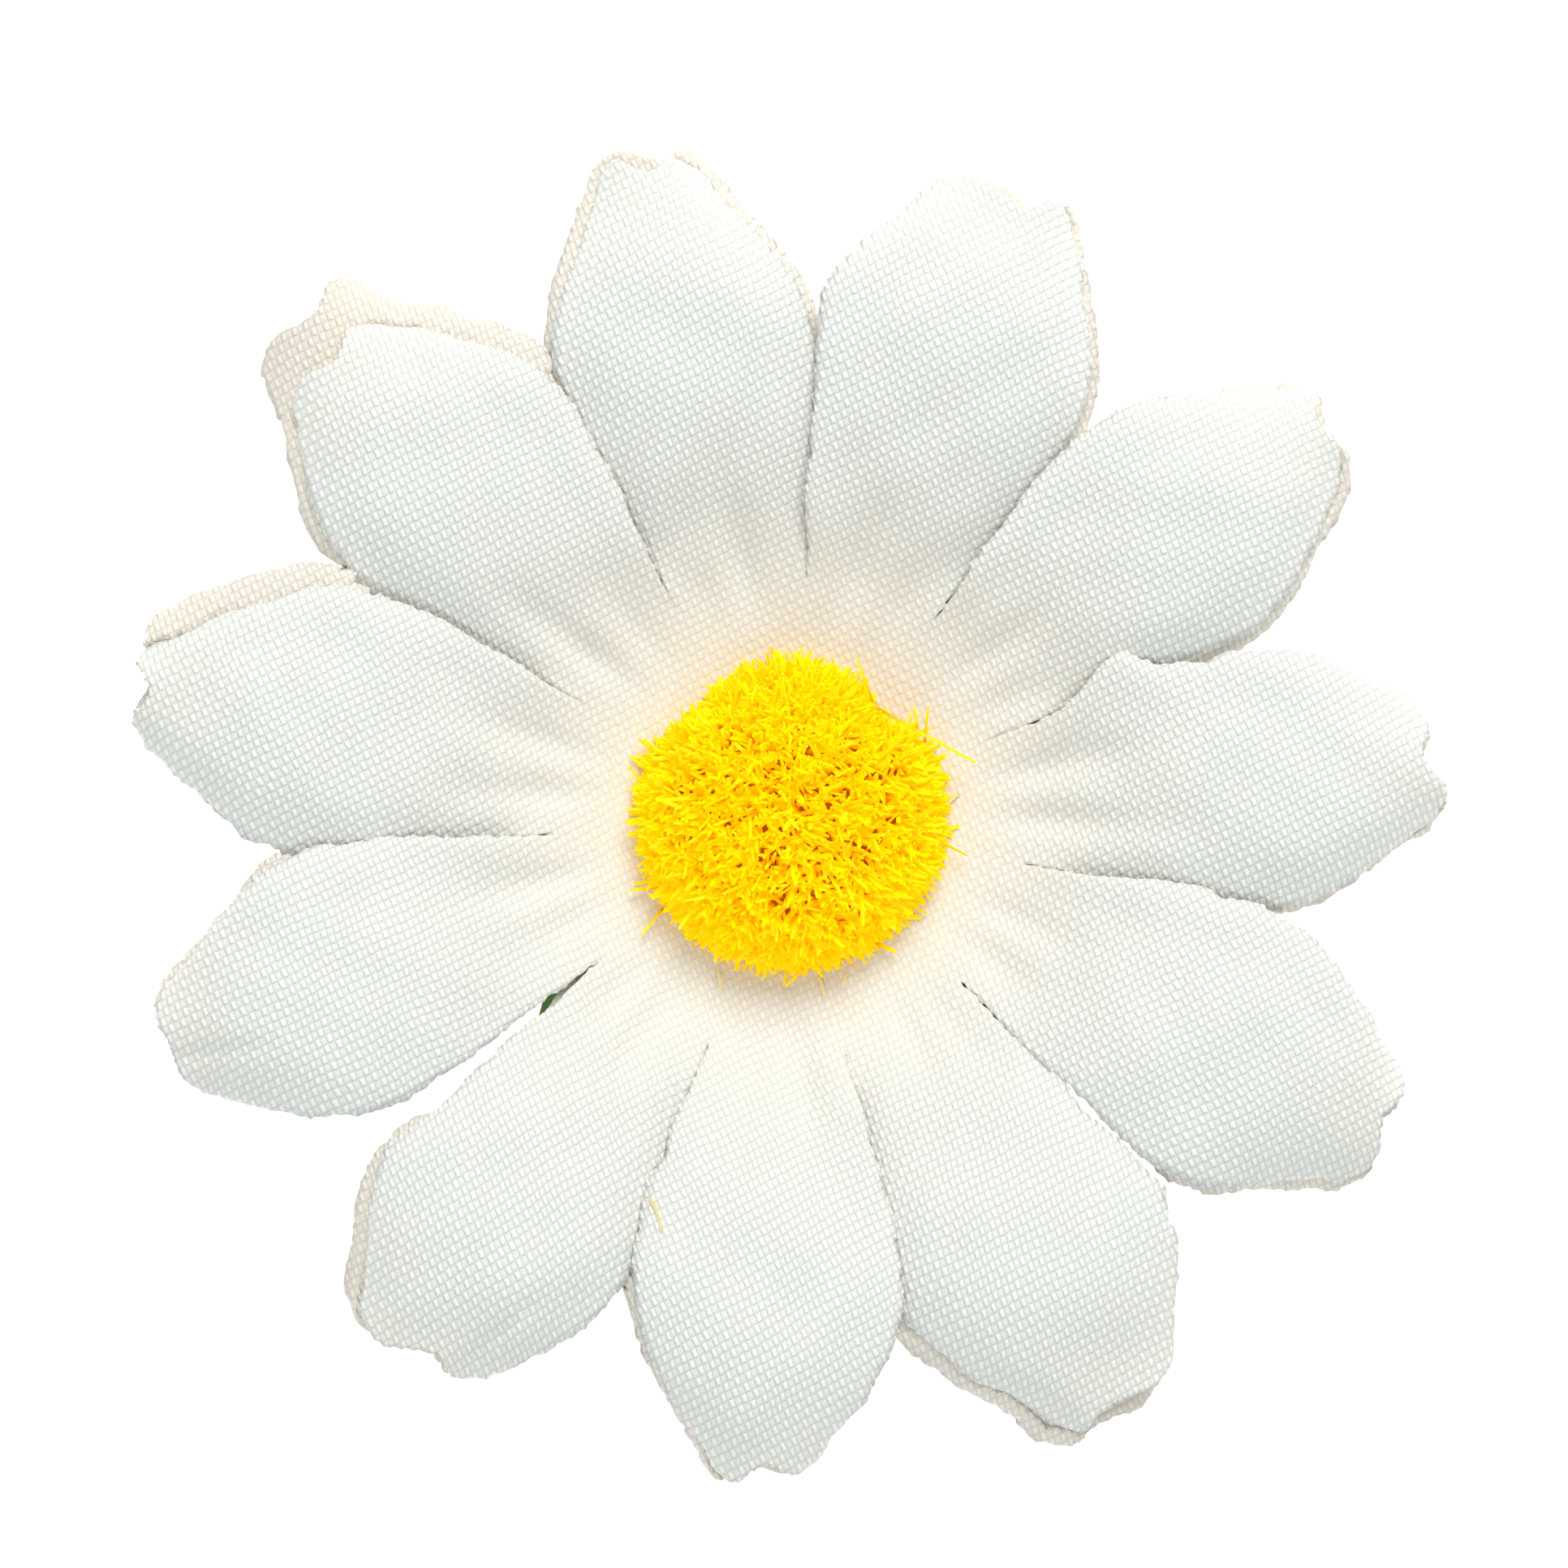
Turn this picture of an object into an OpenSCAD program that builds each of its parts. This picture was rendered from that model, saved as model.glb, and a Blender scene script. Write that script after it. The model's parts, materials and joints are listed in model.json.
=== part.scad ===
// Daisy hair clip: a fabric flower glued on a sprung single-prong alligator clip.
// Millimetres, +Z up, flower facing +Z, clip along Y, origin under the flower's axis
// on the flat underside of the lower arm.

/* [Flower] */
// Diameter over the petal tips
flower_d = 45.5; // [42:0.5:46]
// Number of petals in each layer
petals = 11; // [9:1:13]
// Direction of the first petal, degrees from +X
first_petal = 102; // [0:1:359]
// Thickness of one layer of stiffened cloth
cloth_t = 0.25; // [0.15:0.05:0.3]
// Height that the petals rise above the flower's hub
bowl_rise = 4.3; // [3:0.1:5]
// Drop of a petal's edges below its middle
edge_roll = 1.1; // [0:0.1:1.4]
// Drop of a petal's tip below its highest point
tip_droop = 0.7; // [0:0.1:1]
// Turn of the rear layer against the front one, degrees clockwise from above
layer_turn = 1.5; // [0:0.5:2]

/* [Centre] */
// Diameter of the moulded dome
dome_d = 9.4; // [8.6:0.2:9.4]
// Height of the moulded dome
dome_h = 2.8; // [2:0.1:3.2]
// Depth of the pile on the dome
pile_depth = 0.8; // [0.5:0.1:1]
// Diameter of the peg under the dome
peg_d = 2.4; // [2:0.1:3]

/* [Backing] */
// Number of sepals on the calyx
sepals = 8; // [5:1:10]
// Radius over the sepal tips
sepal_r = 12.6; // [10:0.2:13]
// Diameter of the felt pad
felt_d = 16; // [12:0.5:16]
// Thickness of the felt pad
felt_t = 1; // [0.8:0.1:1]

/* [Clip] */
// Thickness of the clip's sheet steel
sheet_t = 0.6; // [0.5:0.05:0.6]
// Distance from the hinge to the nose
jaw_len = 22; // [20:0.5:22]
// Distance from the hinge to the end of the tails
tail_len = 10; // [9:0.5:11]
// Slope of the upper tail, degrees
tail_slope = 22; // [20:1:24]
// Diameter of the hinge pin
pin_d = 1.2; // [1:0.1:1.2]
// Diameter of the spring wire
wire_d = 0.5; // [0.4:0.05:0.5]
// Turns in the spring
spring_turns = 4; // [3:1:4]
// Spacing of the jaw's teeth
tooth_pitch = 1.5; // [1.2:0.1:2]

/* [Hidden] */

// Clip, side view: the hinge axis runs along X
hinge_y = 4.5;
hinge_z = 2.1;
nose_y = hinge_y - jaw_len;
tail_y = hinge_y + tail_len;
jaw_gap = 3;                       // between the facing sides of the two plates
upper_z = sheet_t + jaw_gap;       // underside of the upper plate
upper_top = upper_z + sheet_t;
bend_y = hinge_y + 3;              // where the upper tail starts to rise

// Clip, front view: half widths
jaw_w = 2;                         // lower jaw
plate_w = 2.6;                     // upper plate
inner_ear = 2.75;                  // outer face of the lower arm's ears
outer_ear = 3.5;                   // outer face of the upper arm's ears
ear_gap = 0.15;
tail_w = 3.5;
ear_r = 1.25;
pin_clearance = 0.05;              // radial, in the lower arm's ears
pin_head_r = 1;
pin_head_t = 0.4;
tooth_top = upper_z - 0.25;
tooth_h = 1;
coil_r = 1.05;                     // mean radius of the spring

// Stack, upwards from the upper plate
bead_t = 0.5;
felt_z = upper_top + bead_t;
glue_z = felt_z + felt_t;
glue_t = 0.3;
calyx_z = glue_z + glue_t;
calyx_t = 1.2;
calyx_r = 4.6;
sepal_t = 0.5;
rear_z = calyx_z + calyx_t;
layer_step = 0.3;                  // from one layer's hub to the next
front_z = rear_z + layer_step;
dome_z = front_z + cloth_t;
peg_depth = 1.25;
fit = 0.05;                        // around the peg and inside the pile
pile_lift = 0.15;                  // the pile's rim stands this far over the hub

// Petals, from the axis outwards
hub_r = 4.8;                       // the hub is flat to here
slit_r = 8;                        // the slits between petals start here
crest_r = 18;                      // the bowl is level from here
shoulder_r = 15.4;                 // neighbouring petals part here
tip_r = flower_d / 2;
tip_notch = 0.5;
layer_spread = 0.35;               // extra room between the layers at the tips
share = 360 / petals;

// One side of a petal, as fractions of half its share of the circle
SIDE = [0, 0.25, 0.45, 0.65, 0.82, 0.93];
ACROSS = concat([-1], [for (i = [len(SIDE) - 1:-1:1]) -SIDE[i]], SIDE);
OUTER_STEPS = 8;                   // rings from just inside the slits to the outline

function smooth(t) = let (u = min(1, max(0, t))) u * u * (3 - 2 * u);
function polar(r, a) = [r * cos(a), r * sin(a)];

// Radius of the petal outline at a fraction of half a share, 0 at the tip and 1 in the slit
function edge_r(s) =
    s > 0.99 ? slit_r
    : s < 0.25 ? tip_r - tip_notch * (1 - s / 0.25)
    : tip_r - (tip_r - shoulder_r) * pow((s - 0.25) / 0.7, 1.6);

// Height of the cloth above its hub
function petal_h(r, s, spread) =
    bowl_rise * smooth((r - hub_r) / (crest_r - hub_r))
    - (edge_roll * s * s + spread) * smooth((r - slit_r) / 8)
    - tip_droop * pow(max(0, (r - crest_r) / (tip_r - crest_r)), 2);

// Radii of the grid's rings at one angle
function ring_radii(s) =
    let (start = slit_r - 0.5)
    concat([peg_d / 2 + 2 * fit, hub_r, (hub_r + start) / 2],
           [for (k = [0:OUTER_STEPS]) start + (edge_r(s) - start) * k / OUTER_STEPS]);

// A whole layer of petals is one closed sheet
module petal_layer(hub_z, turn, spread) {
    grid = [for (p = [0:petals - 1], s = ACROSS)
        let (a = first_petal + turn + share * (p + s / 2))
        [for (r = ring_radii(abs(s)))
            concat(polar(r, a), hub_z + petal_h(r, abs(s), spread))]];
    columns = len(grid);
    rings = len(grid[0]);
    side = columns * rings;
    points = concat([for (column = grid, q = column) q + [0, 0, cloth_t]],
                    [for (column = grid, q = column) q]);
    function at(i, j) = (i % columns) * rings + j;
    upper = [for (i = [0:columns - 1], j = [0:rings - 2])
        each [[at(i, j), at(i + 1, j), at(i + 1, j + 1)],
              [at(i, j), at(i + 1, j + 1), at(i, j + 1)]]];
    lower = [for (f = upper) [f[2] + side, f[1] + side, f[0] + side]];
    outer = [for (i = [0:columns - 1]) let (a = at(i, rings - 1), b = at(i + 1, rings - 1))
        each [[a, b, b + side], [a, b + side, a + side]]];
    inner = [for (i = [0:columns - 1]) let (a = at(i, 0), b = at(i + 1, 0))
        each [[b, a, a + side], [b, a + side, b + side]]];
    polyhedron(points, concat(upper, lower, outer, inner));
}

module petals_front() {
    color("white") petal_layer(front_z, 0, 0);
}

module petals_rear() {
    color("ivory") petal_layer(rear_z, -layer_turn, layer_spread);
}

// Half an ellipse beside the axis, for turned domes
module dome_profile(r, h) {
    polygon(concat([[0, 0]], [for (a = [0:7.5:90]) [r * cos(a), h * sin(a)]]));
}

module centre_button() {
    color("gold") {
        translate([0, 0, dome_z]) rotate_extrude($fn = 64) dome_profile(dome_d / 2, dome_h);
        translate([0, 0, dome_z - peg_depth]) cylinder(d = peg_d, h = peg_depth + 0.2, $fn = 48);
    }
}

module flock_pile() {
    color("yellow") translate([0, 0, dome_z + pile_lift]) difference() {
        rotate_extrude($fn = 64)
            dome_profile(dome_d / 2 + pile_depth, dome_h + pile_depth - pile_lift);
        translate([0, 0, -pile_lift]) rotate_extrude($fn = 64)
            dome_profile(dome_d / 2 + fit, dome_h + fit);
    }
}

// A sepal seen from above, pointing along +X
module sepal_outline() {
    half_w = 2.2;
    polygon([[0, -half_w], [sepal_r * 0.62, -half_w], [sepal_r * 0.86, -half_w * 0.7],
             [sepal_r * 0.97, -half_w * 0.3], [sepal_r, 0], [sepal_r * 0.97, half_w * 0.3],
             [sepal_r * 0.86, half_w * 0.7], [sepal_r * 0.62, half_w], [0, half_w]]);
}

module calyx() {
    level_r = 6.6;                 // the sepals are level to here
    mid_r = 9;
    mid_rise = 0.3;
    sepal_rise = 1.3;
    socket_r = peg_d / 2 + fit;
    socket_depth = 0.9;
    color("yellowgreen") difference() {
        union() {
            translate([0, 0, calyx_z]) cylinder(r = calyx_r, h = calyx_t, $fn = 64);
            intersection() {
                translate([0, 0, rear_z]) rotate_extrude($fn = 64)
                    polygon([[0, -sepal_t], [level_r, -sepal_t], [mid_r, mid_rise - sepal_t],
                             [sepal_r + 1, sepal_rise - sepal_t], [sepal_r + 1, sepal_rise],
                             [mid_r, mid_rise], [level_r, 0], [0, 0]]);
                for (k = [0:sepals - 1])
                    rotate([0, 0, k * 360 / sepals]) linear_extrude(rear_z + 5) sepal_outline();
            }
        }
        translate([0, 0, rear_z - socket_depth]) cylinder(r = socket_r, h = 2, $fn = 48);
        translate([0, 0, calyx_z - 1]) cylinder(r = 0.6, h = 3, $fn = 32);
    }
}

module glue_disc() {
    color("ghostwhite") translate([0, 0, glue_z]) cylinder(r = calyx_r - 0.4, h = glue_t, $fn = 64);
}

module felt_pad() {
    color("whitesmoke") translate([0, 0, felt_z]) cylinder(d = felt_d, h = felt_t, $fn = 96);
}

// A run of glue along the plate, with round ends
module glue_bead() {
    r = plate_w - 0.1;
    run = 5;
    color("ghostwhite") translate([0, -run / 2 - 1, upper_top]) {
        for (y = [0, run]) translate([0, y, 0]) cylinder(r = r, h = bead_t, $fn = 48);
        translate([-r, 0, 0]) cube([2 * r, run, bead_t]);
    }
}

// Something thin standing across the clip: its outline has Y to the right and Z up
module across(x, w) {
    translate([x, 0, 0]) rotate([90, 0, 90]) linear_extrude(w) children();
}

module both_sides(inner, outer) {
    across(inner, outer - inner) children();
    across(-outer, outer - inner) children();
}

// Half of an arm's plan, mirrored to a whole one
module plan(points) {
    polygon(concat(points, [for (i = [len(points) - 1:-1:0]) [-points[i][0], points[i][1]]]));
}

module ear_outline(foot_z, foot_w) {
    translate([hinge_y, hinge_z]) circle(r = ear_r, $fn = 48);
    polygon([[hinge_y - foot_w, foot_z], [hinge_y + foot_w, foot_z],
             [hinge_y + ear_r, hinge_z], [hinge_y - ear_r, hinge_z]]);
}

// The jaw's flange with its row of teeth
module toothed_flange() {
    start = nose_y + 1.2;
    teeth = floor((hinge_y - 3.6 - start) / tooth_pitch);
    polygon(concat([[start, sheet_t / 2]],
                   [for (k = [0:teeth - 1]) let (y = start + k * tooth_pitch)
                       each [[y, tooth_top - tooth_h], [y + tooth_pitch / 2, tooth_top]]],
                   [[start + teeth * tooth_pitch, tooth_top - tooth_h],
                    [start + teeth * tooth_pitch + 1.2, sheet_t / 2]]));
}

// Three teeth turned up at the nose
module nose_teeth() {
    w = 1.2;
    polygon([[-w, sheet_t / 2], [w, sheet_t / 2], [w, tooth_top - tooth_h],
             [w * 2 / 3, tooth_top], [w / 3, tooth_top - tooth_h], [0, tooth_top],
             [-w / 3, tooth_top - tooth_h], [-w * 2 / 3, tooth_top], [-w, tooth_top - tooth_h]]);
}

module lower_arm() {
    color("silver") difference() {
        union() {
            linear_extrude(sheet_t) plan([
                [1.2, nose_y], [1.7, nose_y + 0.3], [jaw_w, nose_y + 0.9], [jaw_w, hinge_y - 4],
                [inner_ear, hinge_y - 2.4], [inner_ear, hinge_y + 3.4], [tail_w, hinge_y + 4.6],
                [tail_w, tail_y - 1.5], [tail_w - 0.5, tail_y - 0.5], [tail_w - 1.5, tail_y]]);
            both_sides(jaw_w - 0.5, jaw_w) toothed_flange();
            translate([0, nose_y + 0.5, 0]) rotate([90, 0, 0]) linear_extrude(0.5) nose_teeth();
            both_sides(inner_ear - sheet_t, inner_ear) ear_outline(sheet_t / 2, 2.2);
        }
        across(-5, 10) translate([hinge_y, hinge_z])
            circle(r = pin_d / 2 + pin_clearance, $fn = 48);
    }
}

module upper_arm() {
    run = tail_y - bend_y;
    rise = run * tan(tail_slope);
    tail_t = sheet_t / cos(tail_slope);
    rim = 0.5;                     // turned-down edge beside the jaw
    color("silver") difference() {
        union() {
            intersection() {
                across(-5, 10) polygon([
                    [nose_y, upper_z], [bend_y, upper_z], [tail_y, upper_z + rise],
                    [tail_y, upper_z + rise + tail_t], [bend_y - 0.1, upper_top], [nose_y, upper_top]]);
                linear_extrude(upper_z + rise + 2) plan([
                    [1.1, nose_y], [1.9, nose_y + 0.6], [plate_w - 0.2, nose_y + 1.4],
                    [plate_w, nose_y + 2.4], [plate_w, hinge_y - 4], [outer_ear, hinge_y - 2.8],
                    [outer_ear, tail_y - 1.5], [outer_ear - 0.5, tail_y - 0.5],
                    [outer_ear - 1.5, tail_y]]);
            }
            both_sides(plate_w - 0.25, plate_w)
                polygon([[nose_y + 3, upper_top - 0.1], [nose_y + 3.6, upper_z - rim],
                         [hinge_y - 5, upper_z - rim], [hinge_y - 4.4, upper_top - 0.1]]);
            both_sides(inner_ear + ear_gap, outer_ear) ear_outline(upper_top - 0.1, 2.6);
        }
        across(-5, 10) translate([hinge_y, hinge_z]) circle(d = pin_d, $fn = 48);
    }
}

module hinge_pin() {
    color("gainsboro") translate([0, hinge_y, hinge_z]) rotate([0, 90, 0]) {
        cylinder(d = pin_d, h = 2 * outer_ear, center = true, $fn = 48);
        for (side = [-1, 1]) translate([0, 0, side * (outer_ear + pin_head_t / 2)])
            cylinder(r = pin_head_r, h = pin_head_t, center = true, $fn = 48);
    }
}

// The spring is one wire swept along its coil and its two legs
module torsion_spring() {
    sides = 8;
    per_turn = 16;
    leg_end = hinge_y + 6.4;
    coil_w = spring_turns * (wire_d + 0.06) + 0.2;
    steps = (spring_turns + 0.5) * per_turn;
    clear = wire_d / 2 + 0.06;
    lower_end = [-coil_w / 2, leg_end, sheet_t + clear];
    upper_bend = [coil_w / 2, bend_y, upper_z - clear];
    upper_end = [coil_w / 2, leg_end,
                 upper_z + (leg_end - bend_y) * tan(tail_slope) - clear / cos(tail_slope)];
    coil = [for (k = [0:steps]) let (a = 360 * k / per_turn)
        [coil_w * (k / steps - 0.5), hinge_y - coil_r * sin(a), hinge_z - coil_r * cos(a)]];
    path = concat([lower_end], coil, [upper_bend, upper_end]);
    last = len(path) - 1;
    rings = [for (i = [0:last])
        let (d = path[min(last, i + 1)] - path[max(0, i - 1)],
             along = d / norm(d),
             u0 = [1, 0, 0] - along * along[0],
             u = u0 / norm(u0),
             v = cross(along, u))
        [for (k = [0:sides - 1]) let (a = 360 * k / sides)
            path[i] + wire_d / 2 * (u * cos(a) + v * sin(a))]];
    points = [for (ring = rings, q = ring) q];
    walls = [for (i = [0:last - 1], k = [0:sides - 1])
        let (a = i * sides + k, b = i * sides + (k + 1) % sides)
        each [[a, a + sides, b + sides], [a, b + sides, b]]];
    caps = [[for (k = [0:sides - 1]) k],
            [for (k = [sides - 1:-1:0]) last * sides + k]];
    color("lightgray") polyhedron(points, concat(walls, caps));
}

lower_arm();
upper_arm();
hinge_pin();
torsion_spring();
glue_bead();
felt_pad();
glue_disc();
calyx();
petals_rear();
petals_front();
centre_button();
flock_pile();
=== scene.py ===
# %% [markdown]
# # A daisy hair clip
# A fabric daisy is glued on the upper arm of a small sprung clip. The metal clip was designed
# as exact solids, and it arrives here as a fixed frame. The soft things, which are two layers of
# petal cloth, the fluffy centre, the felt and the glue, are made here, because cloth, pile and
# glue have no exact shape. Each piece is made around the frame, at its real size.

# %% Load the frame
import json
import math

import bmesh
import bpy
import numpy as np
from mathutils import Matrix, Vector
from mathutils.bvhtree import BVHTree


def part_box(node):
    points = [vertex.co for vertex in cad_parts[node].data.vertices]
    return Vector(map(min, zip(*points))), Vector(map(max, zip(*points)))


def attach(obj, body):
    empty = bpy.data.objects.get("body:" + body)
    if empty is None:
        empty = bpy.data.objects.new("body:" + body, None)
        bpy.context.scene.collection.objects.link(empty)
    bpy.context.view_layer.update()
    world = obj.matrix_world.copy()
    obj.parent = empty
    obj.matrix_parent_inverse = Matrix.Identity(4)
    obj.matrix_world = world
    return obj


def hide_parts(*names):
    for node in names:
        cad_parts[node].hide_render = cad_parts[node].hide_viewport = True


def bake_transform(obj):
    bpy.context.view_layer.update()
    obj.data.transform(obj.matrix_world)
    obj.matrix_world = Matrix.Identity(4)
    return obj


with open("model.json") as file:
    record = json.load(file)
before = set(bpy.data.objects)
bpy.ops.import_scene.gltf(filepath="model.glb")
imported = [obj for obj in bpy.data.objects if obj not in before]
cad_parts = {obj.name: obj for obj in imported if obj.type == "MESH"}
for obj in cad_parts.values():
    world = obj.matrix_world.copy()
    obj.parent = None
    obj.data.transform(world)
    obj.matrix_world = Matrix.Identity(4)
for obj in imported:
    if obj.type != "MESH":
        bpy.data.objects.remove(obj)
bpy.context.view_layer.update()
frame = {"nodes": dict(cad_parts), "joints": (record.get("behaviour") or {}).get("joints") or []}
MM = 0.001
JAW, FLOWER = "jaw", "flower"

# %% [markdown]
# ## The studio
# The clip lies on a pale table and is seen from straight above, through a long lens, so that the
# petals keep their proportions. A warm soft lamp stands low beyond the flower's top edge and makes
# the weave cast tiny shadows. A weaker, cool lamp on the other side and a cool sky fill them.

# %% Camera
VIEW_WIDTH = 53.0 * MM               # what the lens takes in at the height of the petals
VIEW_CENTRE = (-0.25 * MM, 1.07 * MM)
SENSOR, LENS = 36, 150               # in the camera's own millimetres
petal_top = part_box("petals_front")[1].z


def add_object(name, data):
    """A new object in the scene for a mesh, a lamp or a camera."""
    new_object = bpy.data.objects.new(name, data)
    bpy.context.scene.collection.objects.link(new_object)
    return new_object


camera = add_object("camera", bpy.data.cameras.new("camera"))
camera.data.sensor_width = SENSOR
camera.data.lens = LENS
distance = VIEW_WIDTH / SENSOR * LENS
camera.location = (*VIEW_CENTRE, petal_top + distance)
camera.data.clip_start = 0.01
camera.data.clip_end = 10
bpy.context.scene.camera = camera
print("camera stands", round(distance, 3), "m above the petals")


# %% Lamps, sky and table
def soft_lamp(name, place, size, watts, colour):
    """A square lamp at a place in metres, turned to the flower."""
    lamp = add_object(name, bpy.data.lights.new(name, "AREA"))
    lamp.data.size = size
    lamp.data.energy = watts
    lamp.data.color = colour
    lamp.location = place
    aim = Vector((0, 0, petal_top)) - lamp.location
    lamp.rotation_euler = aim.to_track_quat("-Z", "Y").to_euler()


soft_lamp("key_lamp", (0.045, 0.21, 0.21), 0.16, 0.68, (1.0, 0.965, 0.91))
soft_lamp("fill_lamp", (-0.06, -0.28, 0.26), 0.20, 0.28, (0.92, 0.98, 1.0))

world = bpy.data.worlds.new("studio_sky")
world.use_nodes = True
sky = world.node_tree.nodes["Background"]
sky.inputs["Color"].default_value = (0.97, 0.985, 0.97, 1)
sky.inputs["Strength"].default_value = 0.55
bpy.context.scene.world = world
bpy.context.scene.view_settings.view_transform = "Standard"

bpy.ops.mesh.primitive_plane_add(size=4, location=(0, 0, 0))
table = bpy.context.object
table.name = "table"
table_paint = bpy.data.materials.new("pale_table")
table_paint.use_nodes = True
table_shader = table_paint.node_tree.nodes["Principled BSDF"]
table_shader.inputs["Base Color"].default_value = (0.94, 0.94, 0.94, 1)
table_shader.inputs["Roughness"].default_value = 0.9
table_shader.inputs["Emission Color"].default_value = (1, 1, 1, 1)
table_shader.inputs["Emission Strength"].default_value = 0.6
table.data.materials.append(table_paint)
print("studio ready")


# %% [markdown]
# ## Small tools
# A few helpers keep the steps below short. The first ones build materials: each adds one kind of
# node and feeds it with numbers, colours or the outputs of other nodes. The next ones make a piece
# from points and faces, open a mesh for editing and pick parts of it by a test. The last two give
# smooth steps, and smooth curves through a few chosen points.

# %% Material helpers
def new_material(name):
    """A material with its node tree, its links and its main shader."""
    material = bpy.data.materials.new(name)
    material.use_nodes = True
    tree = material.node_tree
    return material, tree, tree.nodes["Principled BSDF"]


def feed(tree, socket, value):
    """Give a socket a number, a colour or another node's output."""
    if isinstance(value, tuple):
        socket.default_value = (*value, 1)
    elif isinstance(value, (int, float)):
        socket.default_value = value
    else:
        tree.links.new(value, socket)


def math_node(tree, operation, *values, clamp=False):
    """A Math node whose inputs are numbers or other nodes' outputs."""
    node = tree.nodes.new("ShaderNodeMath")
    node.operation = operation
    node.use_clamp = clamp
    for socket, value in zip(node.inputs, values):
        feed(tree, socket, value)
    return node.outputs[0]


def mix_colour(tree, factor, first, second):
    """A colour between two colours or colour outputs."""
    node = tree.nodes.new("ShaderNodeMix")
    node.data_type = "RGBA"
    feed(tree, node.inputs["Factor"], factor)
    feed(tree, node.inputs[6], first)
    feed(tree, node.inputs[7], second)
    return node.outputs[2]


def noise(tree, place, scale, detail=2, distortion=0):
    """A cloudy value that changes over the surface, read at a place."""
    node = tree.nodes.new("ShaderNodeTexNoise")
    for name, value in (("Scale", scale), ("Detail", detail), ("Distortion", distortion),
                        ("Vector", place)):
        feed(tree, node.inputs[name], value)
    return node.outputs[0]


def add_relief(tree, shader, height, depth_mm, strength):
    """Small relief from a height that goes from 0 to 1."""
    node = tree.nodes.new("ShaderNodeBump")
    for name, value in (("Distance", depth_mm * MM), ("Strength", strength), ("Height", height)):
        feed(tree, node.inputs[name], value)
    tree.links.new(node.outputs[0], shader.inputs["Normal"])


def own_place(tree):
    """The place of a point in its own piece, in metres."""
    return tree.nodes.new("ShaderNodeTexCoord").outputs["Object"]


print("material helpers ready")


# %% Mesh helpers
def mesh_piece(name, points_mm, faces, material):
    """A piece from points in millimetres, with its place in its mesh."""
    mesh = bpy.data.meshes.new(name)
    mesh.from_pydata((np.asarray(points_mm) * MM).tolist(), [], faces)
    mesh.materials.append(material)
    return add_object(name, mesh)


def select_only(piece):
    bpy.ops.object.select_all(action="DESELECT")
    piece.select_set(True)
    bpy.context.view_layer.objects.active = piece


def edit_all(piece):
    """Open a piece's mesh for editing, with all of it selected."""
    select_only(piece)
    bpy.ops.object.mode_set(mode="EDIT")
    bpy.ops.mesh.select_all(action="SELECT")


def pick(piece, kind, wanted):
    """In edit mode, select the edges or faces that pass a test, and no others."""
    shape = bmesh.from_edit_mesh(piece.data)
    for part in getattr(shape, kind):
        part.select_set(wanted(part))
    bmesh.update_edit_mesh(piece.data)


def extrude_ring(scale, centre=(0, 0, 0)):
    """Extrude the selected edges and move them in or out from the axis."""
    bpy.ops.mesh.extrude_edges_move()
    bpy.ops.transform.resize(value=(scale, scale, 1), center_override=centre)


def face_outwards():
    """Turn all faces of the mesh in edit mode outwards, and leave edit mode."""
    bpy.ops.mesh.select_all(action="SELECT")
    bpy.ops.mesh.normals_make_consistent(inside=False)
    bpy.ops.object.mode_set(mode="OBJECT")


def soft_step(t):
    """0 below 0, 1 above 1, and a smooth climb between."""
    t = np.clip(t, 0, 1)
    return t * t * (3 - 2 * t)


def smooth_curve(*points):
    """A function that passes smoothly through a few (x, y) points."""
    xs, ys = (np.array(c, float) for c in zip(*points))
    slopes = np.gradient(ys, xs)

    def at(x):
        i = np.clip(np.searchsorted(xs, x) - 1, 0, len(xs) - 2)
        width = xs[i + 1] - xs[i]
        t = np.clip((x - xs[i]) / width, 0, 1)
        start = (1 + 2 * t) * (1 - t) ** 2 * ys[i] + t * (1 - t) ** 2 * width * slopes[i]
        end = t * t * (3 - 2 * t) * ys[i + 1] + t * t * (t - 1) * width * slopes[i + 1]
        return start + end

    return at


print("mesh helpers ready")

# %% [markdown]
# ## Petal cloth
# Each layer is one die-cut piece of stiffened white polyester with eleven petals, pressed hot
# into a bowl. A flat plane with a cloth simulation would wrinkle where it likes, but a press
# gives every petal its own known form. So the cloth is laid out as a grid that runs along and
# across each petal, and the press is a height formula: the bowl, the rolled edges, the radial
# folds at the base and a drooping tip. Lengths are in millimetres until the mesh is made. In the
# formulas, u is how far out a point lies along its petal, v how far to the side, and q is the same
# as a share of the petal's half width, from -1 at the right edge to 1 at the left.

# %% The cut of the petals
PETAL_COUNT = 11
FIRST_PETAL = 102.8                  # degrees from +X, and the others follow clockwise
SHARE = 360 / PETAL_COUNT            # angle of one petal
HALF_SHARE = math.tan(math.radians(SHARE / 2))
SLIT_START = 7.8                     # the slits between the petals start this far out
PILE_LIFT = 0.15                     # the solid pile starts this far over the hub's cloth
SOLID_CLOTH = 0.25                   # thickness of a petal layer in the exact solids
hub_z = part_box("flock_pile")[0].z / MM - PILE_LIFT
rear_hub_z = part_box("petals_rear")[0].z / MM + SOLID_CLOTH

# Half width of a petal along its length, and the height of the bowl over the hub
free_width = smooth_curve((7, 2.1), (10, 3.1), (12, 3.8), (14, 4.4), (16, 4.66), (17.5, 4.4),
                          (19, 3.7), (20.6, 2.75), (22, 1.9), (23.5, 1.35))
bowl_height = smooth_curve((0, 0), (5, 0), (6.4, 0.3), (8, 0.95), (10, 2.0), (12, 3.0), (14, 3.75),
                           (16, 4.2), (18, 4.4), (20, 4.3), (22, 3.95), (24, 3.5))


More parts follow.
